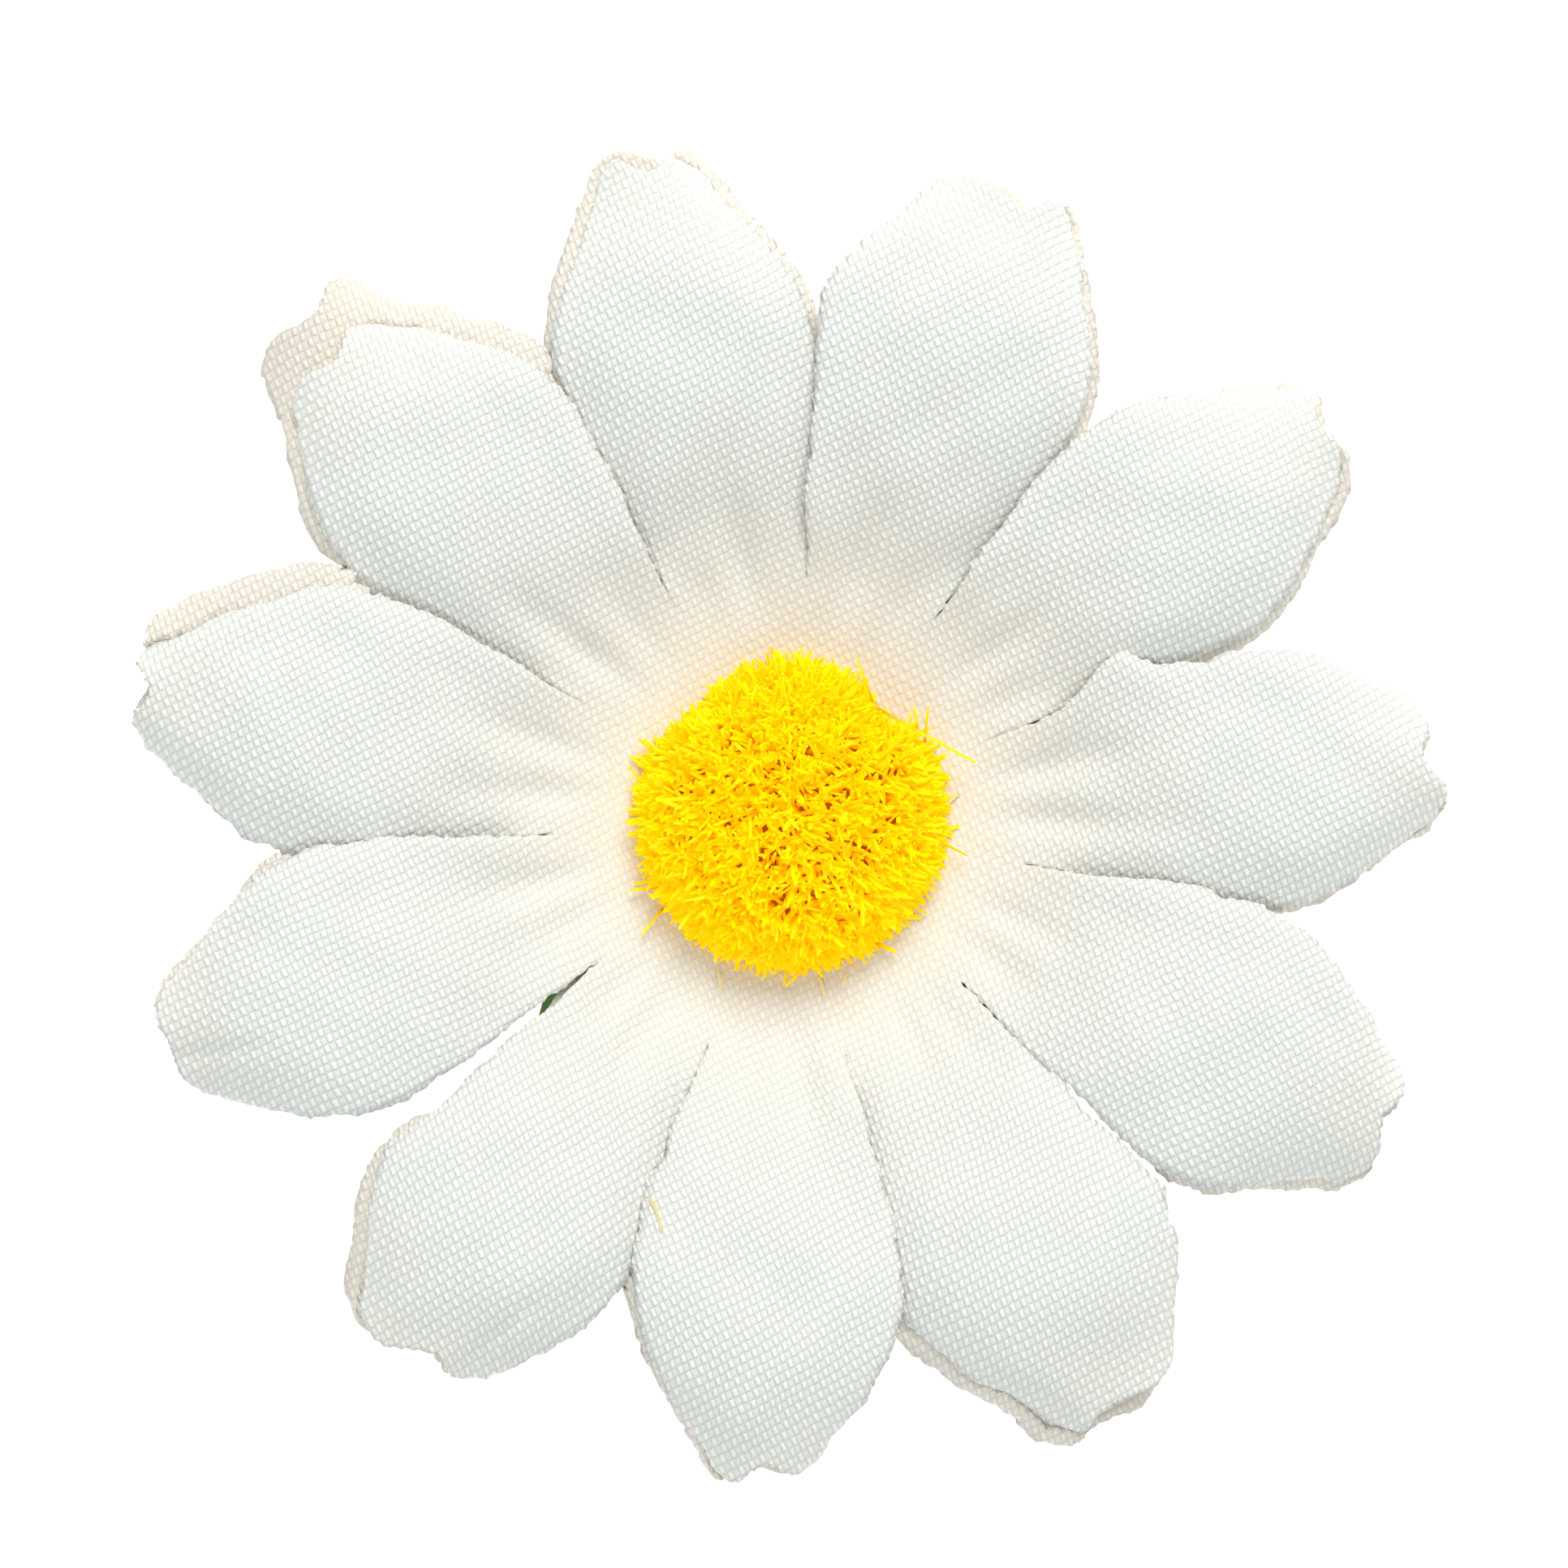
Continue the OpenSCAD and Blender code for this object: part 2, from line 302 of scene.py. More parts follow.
def petal(sway, reach, notch, widths=(1, 1), lifts=(0, 0), folds=(), roll=0.9, droop=0.5,
          flare=(0, 0), front=(0, 0), rear=(0, 0.4, -0.3), tuck=(0, 0), creases=()):
    """The choices for one petal. sway is how far the tip leans; reach is the length of the
    left lobe, the notch and the right lobe; notch is the notch's place across the petal;
    widths and lifts are for its left and right edge; folds at the base are (place, depth,
    end); roll is how far the edges curl down, and droop how far the tip hangs; flare widens
    the left and right edge near the base, and front widens the front layer's near the tip;
    rear is how much longer the rear layer's petal is, and how much wider at its left and
    right; tuck draws the rear layer's edges in beside a slit that can be seen through;
    creases in the tip are (place, start, depth)."""
    return {"sway": sway, "reach": reach, "notch": notch, "widths": widths, "lifts": lifts,
            "folds": folds, "roll": roll, "droop": droop, "flare": flare, "front": front,
            "rear": rear, "tuck": tuck, "creases": creases}


# Left is the anticlockwise side. An edge with a lift lies over its neighbour.
OVER, UNDER = 0.32, -0.25
PETALS = [
    petal(0.0, (23.0, 22.4, 22.6), -0.1, (0.97, 0.96), (UNDER, UNDER),
          [(-0.1, 0.26, 13.5), (0.55, 0.16, 11)], roll=0.7, rear=(0.3, 1.0, -0.1)),
    petal(-0.3, (22.5, 22.1, 22.7), 0.0, (1.0, 0.97), (OVER, UNDER),
          [(0.25, 0.24, 13), (-0.5, 0.18, 11.5)], front=(1.1, 0), rear=(0, 1.15, -0.2)),
    petal(-0.3, (22.8, 22.3, 22.3), 0.1, (0.97, 0.93), (OVER, UNDER),
          [(0.1, 0.22, 13), (-0.55, 0.2, 12)], rear=(0.1, 0.64, 0.0)),
    petal(0.05, (21.8, 21.5, 22.2), 0.2, (0.93, 0.99), (OVER, UNDER),
          [(0.35, 0.26, 14), (-0.35, 0.24, 14.5)], flare=(1.2, 0), rear=(0, 0.39, -0.3)),
    petal(0.45, (22.7, 22.6, 23.0), 0.0, (0.98, 0.97), (OVER, 0.05),
          [(0.2, 0.2, 12.5), (-0.45, 0.2, 12)], front=(0, 1.0),
          rear=(0, 0.39, 1.5), tuck=(0, 0.6)),
    petal(-0.6, (23.0, 22.8, 22.9), 0.3, (0.945, 1.02), (0.05, UNDER),
          [(0.0, 0.22, 12), (0.5, 0.16, 12)], front=(1.55, -0.1), rear=(0.4, 1.5, 0.1),
          tuck=(0.1, 0)),
    petal(0.3, (22.3, 22.1, 22.7), 0.1, (1.0, 1.0), (OVER, 0.15),
          [(0.35, 0.26, 14), (-0.3, 0.2, 12)], rear=(0, 0.49, -0.2)),
    petal(0.8, (22.1, 21.9, 22.7), 0.1, (0.93, 0.9), (UNDER, 0.05),
          [(0.1, 0.22, 13), (-0.5, 0.2, 12)], front=(0, 1.35), rear=(0, 0.39, 2.1),
          tuck=(0, 0.7), creases=[(0.5, 17.5, 0.16)]),
    petal(-0.3, (22.4, 22.5, 22.5), 0.0, (0.93, 0.99), (0.05, OVER),
          [(0.3, 0.2, 12), (-0.35, 0.24, 14)], flare=(-0.1, 0), front=(0.45, 0),
          rear=(0, 0.6, -0.3), tuck=(0.15, 0), creases=[(0.35, 18.5, 0.13)]),
    petal(0.25, (22.5, 22.2, 22.8), 0.0, (1.0, 1.0), (UNDER, OVER),
          [(0.4, 0.22, 13), (-0.3, 0.22, 14)], rear=(0, 0.39, 0.75)),
    petal(-0.15, (22.2, 21.9, 22.2), 0.0, (0.98, 1.0), (UNDER, OVER),
          [(0.35, 0.3, 13.5), (-0.35, 0.2, 12)], front=(0.35, 0), rear=(1.7, 1.4, 0.6)),
]
print(len(PETALS), "petals to cut")

# %% The press
COLUMNS = 30                         # cells across a petal
HUB_ROWS = [1.4, 3.2, 4.9, 5.5, 6.1, 6.7, 7.3, SLIT_START]
FREE_ROWS = 84                       # cells along the free part of a petal
LOBE, LOBE_CORNER = 0.75, 0.45       # where a lobe peaks, and how far its corner is cut back
FRAY = 0.035                         # how unevenly the threads end
WANDER, WANDER_STEP = 0.09, 0.9      # how far the cut's sides wander, and how often
FOLD_PRESS = 1.3                     # how sharply the press marks the folds
RIPPLE = 0.07                        # height of the soft ripples between the folds
TIP_SWAY = 1.25                      # millimetres for a sway of 1
FLARE_PLACE, FLARE_SPREAD = 11.3, 1.25

# How far it is along the curve of the bowl to each millimetre of radius
radii = np.arange(0.0, 25)
path_steps = np.hypot(1, np.diff(bowl_height(radii)))
bowl_path = smooth_curve(*zip(radii, np.cumsum([0, *path_steps])))
print("the bowl's curve is", round(float(bowl_path(radii[-1])), 1), "mm long at the last radius")


def half_width(u, side):
    """Half the petal's width at a distance u along it, joined to its neighbour near the hub."""
    joined = u * HALF_SHARE
    return joined + (free_width(u) * side - joined) * soft_step((u - SLIT_START) / 2.6)


def tip_line(p, q, extra):
    """How far the petal reaches at each place across it: two lobes and a notch."""
    left, middle, right = (r + extra for r in p["reach"])
    line = smooth_curve((-1, right - LOBE_CORNER), (-LOBE, right), (p["notch"], middle),
                        (LOBE, left), (1, left - LOBE_CORNER))
    return line(q)


def petal_grid(p, extra, dice):
    """Points along and across one petal that points along +X, and their places in the flat.
    extra is how much longer, and how much wider at the left and right of its tip, it is cut,
    and how far its left and right edges are drawn in."""
    q = np.linspace(-1, 1, COLUMNS + 1)
    reach = tip_line(p, q, extra[0])
    reach[1:-1] += dice.normal(0, FRAY, COLUMNS - 1)
    along = np.linspace(0, 1, FREE_ROWS + 1)[1:, None]
    u = np.vstack([np.repeat(np.array(HUB_ROWS)[:, None], COLUMNS + 1, 1),
                   SLIT_START + (reach - SLIT_START) * along])
    q = np.repeat(q[None], len(u), 0)
    side = np.where(q > 0, p["widths"][0], p["widths"][1])
    v = q * half_width(u, side)

    # Wider towards the tip, drawn in beside an open slit, flared near the base, and ragged
    v += q * np.where(q > 0, extra[1], extra[2]) * soft_step((u - 13.5) / 6)
    v -= q * np.where(q > 0, extra[3], extra[4]) * soft_step((u - 9) / 3)
    v += q * np.where(q > 0, *p["flare"]) * np.exp(-((u - FLARE_PLACE) / FLARE_SPREAD) ** 2)
    free = u > SLIT_START + 0.1
    fray = dice.normal(0, FRAY, u.shape) * free
    knots = np.arange(0, 26, WANDER_STEP)
    for column in (0, -1):
        ragged = np.interp(u[:, column], knots, dice.normal(0, WANDER, len(knots)))
        v[:, column] += fray[:, column] + ragged * free[:, column] * soft_step(
            (u[:, column] - 9) / 3)

    # The bowl, the edges' roll and their lift over or under a neighbour, and the tip's droop
    r = np.hypot(u, v)
    z = bowl_height(r)
    z -= p["roll"] * np.abs(q) ** 2.4 * soft_step((u - SLIT_START) / 7)
    lift = np.where(q > 0, p["lifts"][0], p["lifts"][1])
    z += lift * soft_step((np.abs(q) - 0.5) / 0.5) * soft_step((u - SLIT_START) / 2.5) * (
        1 - 0.7 * soft_step((u - 17) / 5))
    z -= p["droop"] * soft_step((u - 17) / 6) ** 2

    # Folds at the base, creases in the tip, and soft ripples between them
    for place, depth, end in p["folds"]:
        across = (v - place * half_width(u, 1)) / (0.3 + 0.03 * u)
        z -= FOLD_PRESS * depth * np.exp(-across ** 2) * soft_step((u - 6.2) / 3) * (
            1 - soft_step((u - end + 5) / 5))
    for place, start, depth in p["creases"]:
        across = (v - place * half_width(u, 1)) / 0.3
        z -= depth * np.exp(-across ** 2) * soft_step((u - start) / 1.5)
    phases = dice.uniform(0, 6.28, 4)
    ripple = (np.sin(u * 0.9 + phases[0]) * np.sin(v * 0.8 + phases[1])
              + 0.6 * np.sin(u * 1.7 + v * 0.5 + phases[2]) * np.sin(v * 1.5 + phases[3]))
    z += RIPPLE * ripple * soft_step((u - SLIT_START) / 3) * (1 - q ** 4)

    stretch = bowl_path(u) / u
    flat = np.stack([u * stretch, v * stretch], -1)
    v = v + p["sway"] * soft_step((u - SLIT_START) / 16) * TIP_SWAY
    return np.stack([u, v, z], -1), flat


def turned(points, degrees):
    """Points turned about +Z, whatever else they carry."""
    a = math.radians(degrees)
    out = points.copy()
    out[..., 0] = points[..., 0] * math.cos(a) - points[..., 1] * math.sin(a)
    out[..., 1] = points[..., 0] * math.sin(a) + points[..., 1] * math.cos(a)
    return out


def cloth_layer(name, base_z, turn, material, seed, rear=False):
    """One die-cut layer: eleven petal grids, joined where they share the hub. It comes with
    the flat area of its cut, in square metres."""
    dice = np.random.default_rng(seed)
    points, flats, faces = [], [], []
    columns = COLUMNS + 1
    for k, p in enumerate(PETALS):
        extra = (*p["rear"], *p["tuck"]) if rear else (0, *p["front"], 0, 0)
        grid, flat = petal_grid(p, extra, dice)
        direction = FIRST_PETAL - k * SHARE
        grid[..., 2] += base_z
        start = len(points) * grid.shape[0] * columns
        points.append(turned(grid, direction + turn).reshape(-1, 3))
        flats.append(turned(flat, direction).reshape(-1, 2))
        corner = start + np.arange((grid.shape[0] - 1) * columns).reshape(-1, columns)[:, :-1]
        faces.append(np.stack([corner, corner + columns, corner + columns + 1, corner + 1],
                              -1).reshape(-1, 4))
    points, flats, faces = (np.concatenate(a) for a in (points, flats, faces))
    if rear:
        points[:, 2] = under_front(points)
    corners = flats[faces]
    one_way, other_way = corners[:, 2] - corners[:, 0], corners[:, 3] - corners[:, 1]
    area = np.abs(one_way[:, 0] * other_way[:, 1] - one_way[:, 1] * other_way[:, 0]).sum() / 2
    piece = mesh_piece(name, points, faces.tolist(), material)
    uv = piece.data.uv_layers.new(name="flat")
    uv.data.foreach_set("uv", (flats[faces.ravel()]).astype(np.float32).ravel())
    edit_all(piece)
    bpy.ops.mesh.remove_doubles(threshold=0.002 * MM)
    bpy.ops.object.mode_set(mode="OBJECT")
    bpy.ops.object.shade_smooth()
    return piece, area * MM ** 2


def thicken(piece, thickness, edge_material=None):
    """Give a sheet its thickness downwards, and its cut edge a material of its own."""
    solid = piece.modifiers.new("thickness", "SOLIDIFY")
    solid.thickness = thickness * MM
    solid.offset = -1
    if edge_material:
        piece.data.materials.append(edge_material)
        solid.material_offset_rim = 1
    select_only(piece)
    bpy.ops.object.modifier_apply(modifier=solid.name)
    print(piece.name, len(piece.data.polygons), "faces")


# %% [markdown]
# ## The weave
# The cloth is a plain weave: each thread passes over one and under the next. The pattern is one
# node group that reads the flat place of each point, so that it runs straight through the whole
# cut and bends with the petals, as the real threads do. It puts out a height for the bump and a
# mask of the small gaps between threads and of the threads that lie lower, which the cloth
# material paints darker as painted shade.

# %% Weave group
CLOTH_CLOUDS = 0.35                  # clouds per millimetre in the cloth's slow changes


def weave_group():
    """A plain weave: threads two ways that take turns to lie on top."""
    group = bpy.data.node_groups.new("plain_weave", "ShaderNodeTree")
    sockets = group.interface
    sockets.new_socket("Flat", in_out="INPUT", socket_type="NodeSocketVector")
    for name, value in (("Weft spacing", 0.31), ("Warp spacing", 0.217),
                        ("Weft angle", 28.0), ("Warp angle", 111.0)):
        socket = sockets.new_socket(name, in_out="INPUT", socket_type="NodeSocketFloat")
        socket.default_value = value
    for name in ("Height", "Gap"):
        sockets.new_socket(name, in_out="OUTPUT", socket_type="NodeSocketFloat")
    source = group.nodes.new("NodeGroupInput")
    result = group.nodes.new("NodeGroupOutput")
    split = group.nodes.new("ShaderNodeSeparateXYZ")
    group.links.new(source.outputs["Flat"], split.inputs[0])
    wander = noise(group, source.outputs["Flat"], CLOTH_CLOUDS)
    drift = math_node(group, "MULTIPLY", math_node(group, "SUBTRACT", wander, 0.5), 0.4)

    def thread_wave(angle, spacing):
        """A sine that is zero between neighbouring threads."""
        radians = math_node(group, "RADIANS", source.outputs[angle])
        x = math_node(group, "MULTIPLY", split.outputs[0], math_node(group, "SINE", radians))
        y = math_node(group, "MULTIPLY", split.outputs[1], math_node(group, "COSINE", radians))
        across = math_node(group, "ADD", math_node(group, "SUBTRACT", y, x), drift)
        turns = math_node(group, "DIVIDE", across, source.outputs[spacing])
        return math_node(group, "SINE", math_node(group, "MULTIPLY", turns, math.pi))

    weft = thread_wave("Weft angle", "Weft spacing")
    warp = thread_wave("Warp angle", "Warp spacing")
    parity = math_node(group, "MULTIPLY", weft, warp)
    warp_over = math_node(group, "MULTIPLY_ADD", parity, 2.5, 0.5, clamp=True)
    weft_size = math_node(group, "ABSOLUTE", weft)
    warp_size = math_node(group, "ABSOLUTE", warp)
    warp_round = math_node(group, "MULTIPLY", math_node(group, "POWER", warp_size, 0.8),
                           math_node(group, "POWER", weft_size, 0.4))
    weft_round = math_node(group, "MULTIPLY", math_node(group, "POWER", weft_size, 0.7),
                           math_node(group, "MULTIPLY", math_node(group, "POWER", warp_size, 0.3),
                                     0.37))
    blend = group.nodes.new("ShaderNodeMix")
    group.links.new(warp_over, blend.inputs["Factor"])
    group.links.new(weft_round, blend.inputs[2])
    group.links.new(warp_round, blend.inputs[3])
    height = blend.outputs[0]
    group.links.new(height, result.inputs["Height"])
    gap = math_node(group, "SUBTRACT", 1.0, math_node(group, "MULTIPLY", height, 1.7, clamp=True))
    group.links.new(gap, result.inputs["Gap"])
    return group


WEAVE = weave_group()
print("weave group has", len(WEAVE.nodes), "nodes")


# %% Petal cloth material
HUB_TINT_AND_SHADE = (0.875, 0.855, 0.81)    # the cloth near the hub is warmer and darker: partly the glue's warm tint, partly painted shade and painted yellow bounce from the centre
TIP_TONE = (0.97, 0.93, 0.86)          # a warmer, darker share of a thread's colour that the tips take on in patches


def cloth_material(name, thread, shade):
    """White polyester: bright threads, with painted shade in the gaps between them and on the threads
    that lie lower.
    """
    material, tree, shader = new_material(name)
    flat = tree.nodes.new("ShaderNodeUVMap")
    flat.uv_map = "flat"
    weave = tree.nodes.new("ShaderNodeGroup")
    weave.node_tree = WEAVE
    tree.links.new(flat.outputs[0], weave.inputs["Flat"])
    patches = noise(tree, flat.outputs[0], CLOTH_CLOUDS, detail=4)
    tone = mix_colour(tree, patches, thread, tuple(c * 0.965 for c in thread))

    # near_hub fades out from 5.6 to 11.9 mm from the middle, and near_tip comes in from 19.4 mm
    reach = tree.nodes.new("ShaderNodeVectorMath")
    reach.operation = "LENGTH"
    tree.links.new(flat.outputs[0], reach.inputs[0])
    near_hub = math_node(tree, "MULTIPLY_ADD", reach.outputs["Value"], -0.16, 1.9, clamp=True)
    # Painted shade and painted yellow bounce, with the glue's warm tint: the cloth is darker and
    # warmer near the hub.
    tone = mix_colour(tree, near_hub, tone, HUB_TINT_AND_SHADE)
    near_tip = math_node(tree, "MULTIPLY_ADD", reach.outputs["Value"], 0.35, -6.8, clamp=True)
    tip_colour = tuple(c * share for c, share in zip(thread, TIP_TONE))
    tone = mix_colour(tree, math_node(tree, "MULTIPLY", near_tip, patches), tone, tip_colour)
    # Painted shade: the weave's gaps and lower threads are mixed towards the shade colour, and less so
    # near the hub.
    depth = math_node(tree, "MULTIPLY_ADD", near_hub, -0.35, 0.9)
    gap = math_node(tree, "MULTIPLY", weave.outputs["Gap"], depth)
    tree.links.new(mix_colour(tree, gap, tone, shade), shader.inputs["Base Color"])
    rough = math_node(tree, "MULTIPLY_ADD", weave.outputs["Gap"], 0.25, 0.52)
    tree.links.new(rough, shader.inputs["Roughness"])
    add_relief(tree, shader, weave.outputs["Height"], 0.06, depth)
    shader.inputs["Sheen Weight"].default_value = 0.15
    shader.inputs["Sheen Roughness"].default_value = 0.4
    shader.inputs["Specular IOR Level"].default_value = 0.35
    shader.inputs["Subsurface Weight"].default_value = 0.12
    shader.inputs["Subsurface Radius"].default_value = (1, 1, 1)
    shader.inputs["Subsurface Scale"].default_value = 0.3 * MM
    return material


front_cloth = cloth_material("petal_cloth", (0.96, 0.962, 0.93), (0.60, 0.665, 0.65))
rear_cloth = cloth_material("petal_cloth_rear", (0.87, 0.838, 0.775), (0.66, 0.635, 0.575))
print("cloth for", front_cloth.name, "and", rear_cloth.name)

# %% Cut edge material
# The die is hot, so the thread ends melt into a thin yellowish rim.
cut_edge, edge_tree, edge_shader = new_material("cut_edge")
edge_tone = mix_colour(edge_tree, noise(edge_tree, own_place(edge_tree), 2500),
                       (0.70, 0.67, 0.59), (0.88, 0.85, 0.76))
edge_tree.links.new(edge_tone, edge_shader.inputs["Base Color"])
edge_shader.inputs["Roughness"].default_value = 0.7
print("cut edge ready")

# %% Front layer
CLOTH = 0.16                         # thickness of the stiffened cloth
FRONT_REACH, REAR_REACH = 23.0, 24.0     # radius of each layer's longest tip
petals_front, front_area = cloth_layer("petals_front_cloth", hub_z, 0, front_cloth, seed=7)
front_tree = BVHTree.FromPolygons([v.co / MM for v in petals_front.data.vertices],
                                  [p.vertices for p in petals_front.data.polygons])
thicken(petals_front, CLOTH, cut_edge)
front_width = 2 * bowl_path(FRONT_REACH) * MM
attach(petals_front, FLOWER)
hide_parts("petals_front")
print("front cut:", round(front_width / MM, 1), "mm across,", round(front_area * 1e4, 2), "cm2")


# %% Rear layer
REAR_TURN = -1.4                     # degrees against the front layer
REAR_DROP = 0.15                     # how far its hub lies below the solid one's
LAYER_GAP = 0.1


def under_front(points):
    """Heights that keep the rear layer clear below the front one."""
    heights = points[:, 2].copy()
    gap = CLOTH + LAYER_GAP
    for i, (x, y, z) in enumerate(points):
        hit = front_tree.ray_cast(Vector((x, y, 0)), Vector((0, 0, 1)))[0]
        if hit is not None:
            heights[i] = min(z, hit.z - gap)
    return heights


petals_rear, rear_area = cloth_layer("petals_rear_cloth", rear_hub_z - REAR_DROP, REAR_TURN,
                                     rear_cloth, seed=11, rear=True)
thicken(petals_rear, CLOTH, cut_edge)
rear_width = 2 * bowl_path(REAR_REACH) * MM
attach(petals_rear, FLOWER)
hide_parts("petals_rear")
print("rear cut:", round(rear_width / MM, 1), "mm across,", round(rear_area * 1e4, 2), "cm2")

# %% [markdown]
# ## The fluffy centre
# The yellow centre is a small plastic dome dipped in glue and flocked with short cut fibres that
# stand and lie every way. Hair particles would not survive as a mesh, so one fibre is modelled,
# from a triangle extruded three times, and thousands of bent copies are planted on the dome.
# Each point keeps how far along its fibre it is, so that the roots can be painted dark orange,
# as painted shade deep in the pile, and the tips bright yellow, and each fibre keeps a number of
# its own for its tint.

# %% One fibre
bpy.ops.object.select_all(action="DESELECT")
bpy.ops.mesh.primitive_circle_add(vertices=3, radius=0.5, fill_type="NGON")
model_fibre = bpy.context.object
edit_all(model_fibre)
for shrink in (0.98, 0.95, 0.75):
    bpy.ops.mesh.extrude_region_move(TRANSFORM_OT_translate={"value": (0, 0, 1 / 3)})
    bpy.ops.transform.resize(value=(shrink, shrink, 1))
face_outwards()
fibre_points = np.array([v.co for v in model_fibre.data.vertices])
fibre_faces = [tuple(f.vertices) for f in model_fibre.data.polygons]
bpy.data.objects.remove(model_fibre)
print("one fibre has", len(fibre_faces), "faces")


def unit(vectors):
    """The same directions, each of length 1."""
    return vectors / np.linalg.norm(vectors, axis=-1, keepdims=True)


def plant(name, roots, ways, lengths, widths, bends, dice, material, floor=None):
    """Bent copies of the fibre, each from its root along its way, in one piece. A floor is
    a height that no point goes below."""
    count = len(roots)
    ways = unit(ways)
    sides = unit(np.cross(ways, unit(dice.normal(size=(count, 3)))))
    others = np.cross(ways, sides)
    x, y, z = fibre_points.T
    along = z[None, :, None]
    points = (roots[:, None] + sides[:, None] * (x[None, :, None] * widths[:, None, None])
              + others[:, None] * (y[None, :, None] * widths[:, None, None] * 0.7)
              + ways[:, None] * along * lengths[:, None, None]
              + bends[:, None] * along ** 2 * lengths[:, None, None])
    if floor is not None:
        points[..., 2] = np.maximum(points[..., 2], floor(np.hypot(points[..., 0], points[..., 1])))
    size = len(fibre_points)
    faces = [tuple(c + k * size for c in face) for k in range(count) for face in fibre_faces]
    piece = mesh_piece(name, points.reshape(-1, 3), faces, material)
    for key, values in (("along", np.tile(z, count)), ("strand", np.repeat(dice.random(count), size))):
        attribute = piece.data.attributes.new(key, "FLOAT", "POINT")
        attribute.data.foreach_set("value", values.astype(np.float32))
    print(name, "has", count, "fibres and", len(faces), "faces")
    return piece


# %% Fibre material
def fibre_material(name, colours, rough=0.5, painted_glow=0.0):
    """Cut fibres: colours are for the root, the middle, a pale tip and a deep tip, and the darker root
    is painted shade at the foot of the fibres. The thin fibres pass light on to each other, and a
    painted glow in their own colour stands for that."""
    material, tree, shader = new_material(name)
    read = []
    for key in ("along", "strand"):
        attribute = tree.nodes.new("ShaderNodeAttribute")
        attribute.attribute_name = key
        read.append(attribute.outputs["Fac"])
    along, strand = read
    root, middle, pale, deep = colours
    tip = mix_colour(tree, strand, pale, deep)
    # Painted shade: the darker root colour fades out along the first third of each fibre.
    low = math_node(tree, "MULTIPLY", along, 3.2, clamp=True)
    high = math_node(tree, "MULTIPLY_ADD", along, 1.9, -0.45, clamp=True)
    base = mix_colour(tree, low, root, middle)
    colour = mix_colour(tree, high, base, tip)
    tree.links.new(colour, shader.inputs["Base Color"])
    # Painted glow: the fibres give out light in their own colour, though they are no lamp.
    tree.links.new(colour, shader.inputs["Emission Color"])
    shader.inputs["Emission Strength"].default_value = painted_glow
    tree.links.new(math_node(tree, "MULTIPLY_ADD", strand, 0.2, rough),
                   shader.inputs["Roughness"])
    shader.inputs["Specular IOR Level"].default_value = 0.15
    return material


pile_yellow = fibre_material("yellow_pile", ((0.62, 0.22, 0.0), (1.0, 0.58, 0.0),
                                             (1.0, 0.80, 0.0), (1.0, 0.64, 0.0)), painted_glow=0.24)
print("pile colour ready")

# %% The flocked dome
dice = np.random.default_rng(5)
dome_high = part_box("centre_button")[1] / MM
dome_r = dome_high.x
dome_h = dome_high.z - hub_z
DOME_FIBRES, RIM_FIBRES = 5200, 1000
RIM_SHARE = 0.12                     # how high up the dome the rim's own fibres grow
FIBRE_LENGTH = (0.7, 1.25)
FIBRE_WIDTH = (0.15, 0.23)
FIBRE_BEND = 0.32                    # up to this share of a fibre's length
# Where the rim is rubbed short: direction in degrees, width in radians, and how much
WORN = [(48, 0.25, 0.45), (133, 0.3, 0.3)]
height_share = np.concatenate([dice.random(DOME_FIBRES), dice.random(RIM_FIBRES) * RIM_SHARE])
around = dice.uniform(0, 2 * math.pi, len(height_share))
flat_share = np.sqrt(1 - height_share ** 2)
outward = np.stack([np.cos(around), np.sin(around), 0 * around], -1)
pile_roots = outward * (flat_share * (dome_r - 0.05))[:, None]
pile_roots[:, 2] = hub_z + 0.12 + height_share * (dome_h - 0.12)

# Fibres lean every way, and those that would point into the dome are turned out again
normals = unit(outward * (flat_share / dome_r)[:, None]
               + np.stack([0 * around, 0 * around, height_share / dome_h], -1))
wander = unit(dice.normal(size=normals.shape))
tilt = dice.uniform(0.7, 2.2, len(around))[:, None]
ways = normals + wander * tilt + outward * 0.15
inward = np.minimum(0, (unit(ways) * normals).sum(1) - 0.3)
ways = unit(ways) - normals * (inward * 1.6)[:, None]

# One in thirty is longer than the rest, and they are shorter at the rim and where it is worn
lengths = dice.uniform(*FIBRE_LENGTH, len(around))
lengths[dice.random(len(around)) < 0.03] *= 1.4
worn = sum(depth * np.exp(-((around - math.radians(angle)) / width) ** 2)
           for angle, width, depth in WORN) * (1 - height_share)
lengths *= (1 - worn) * (1 - 0.25 * (1 - height_share) ** 2)
pile_roots[:, :2] *= (1 - 0.2 * worn)[:, None]
bends = unit(dice.normal(size=ways.shape)) * dice.uniform(0, FIBRE_BEND, len(around))[:, None]
widths = dice.uniform(*FIBRE_WIDTH, len(around))


def cloth_top(r):
    """Height of the petal cloth's upper side, with a hair's clearance."""
    return hub_z + 0.09 + np.maximum(0, bowl_height(r))


flock = plant("flock_fibres", pile_roots, ways, lengths, widths, bends, dice, pile_yellow,
              cloth_top)

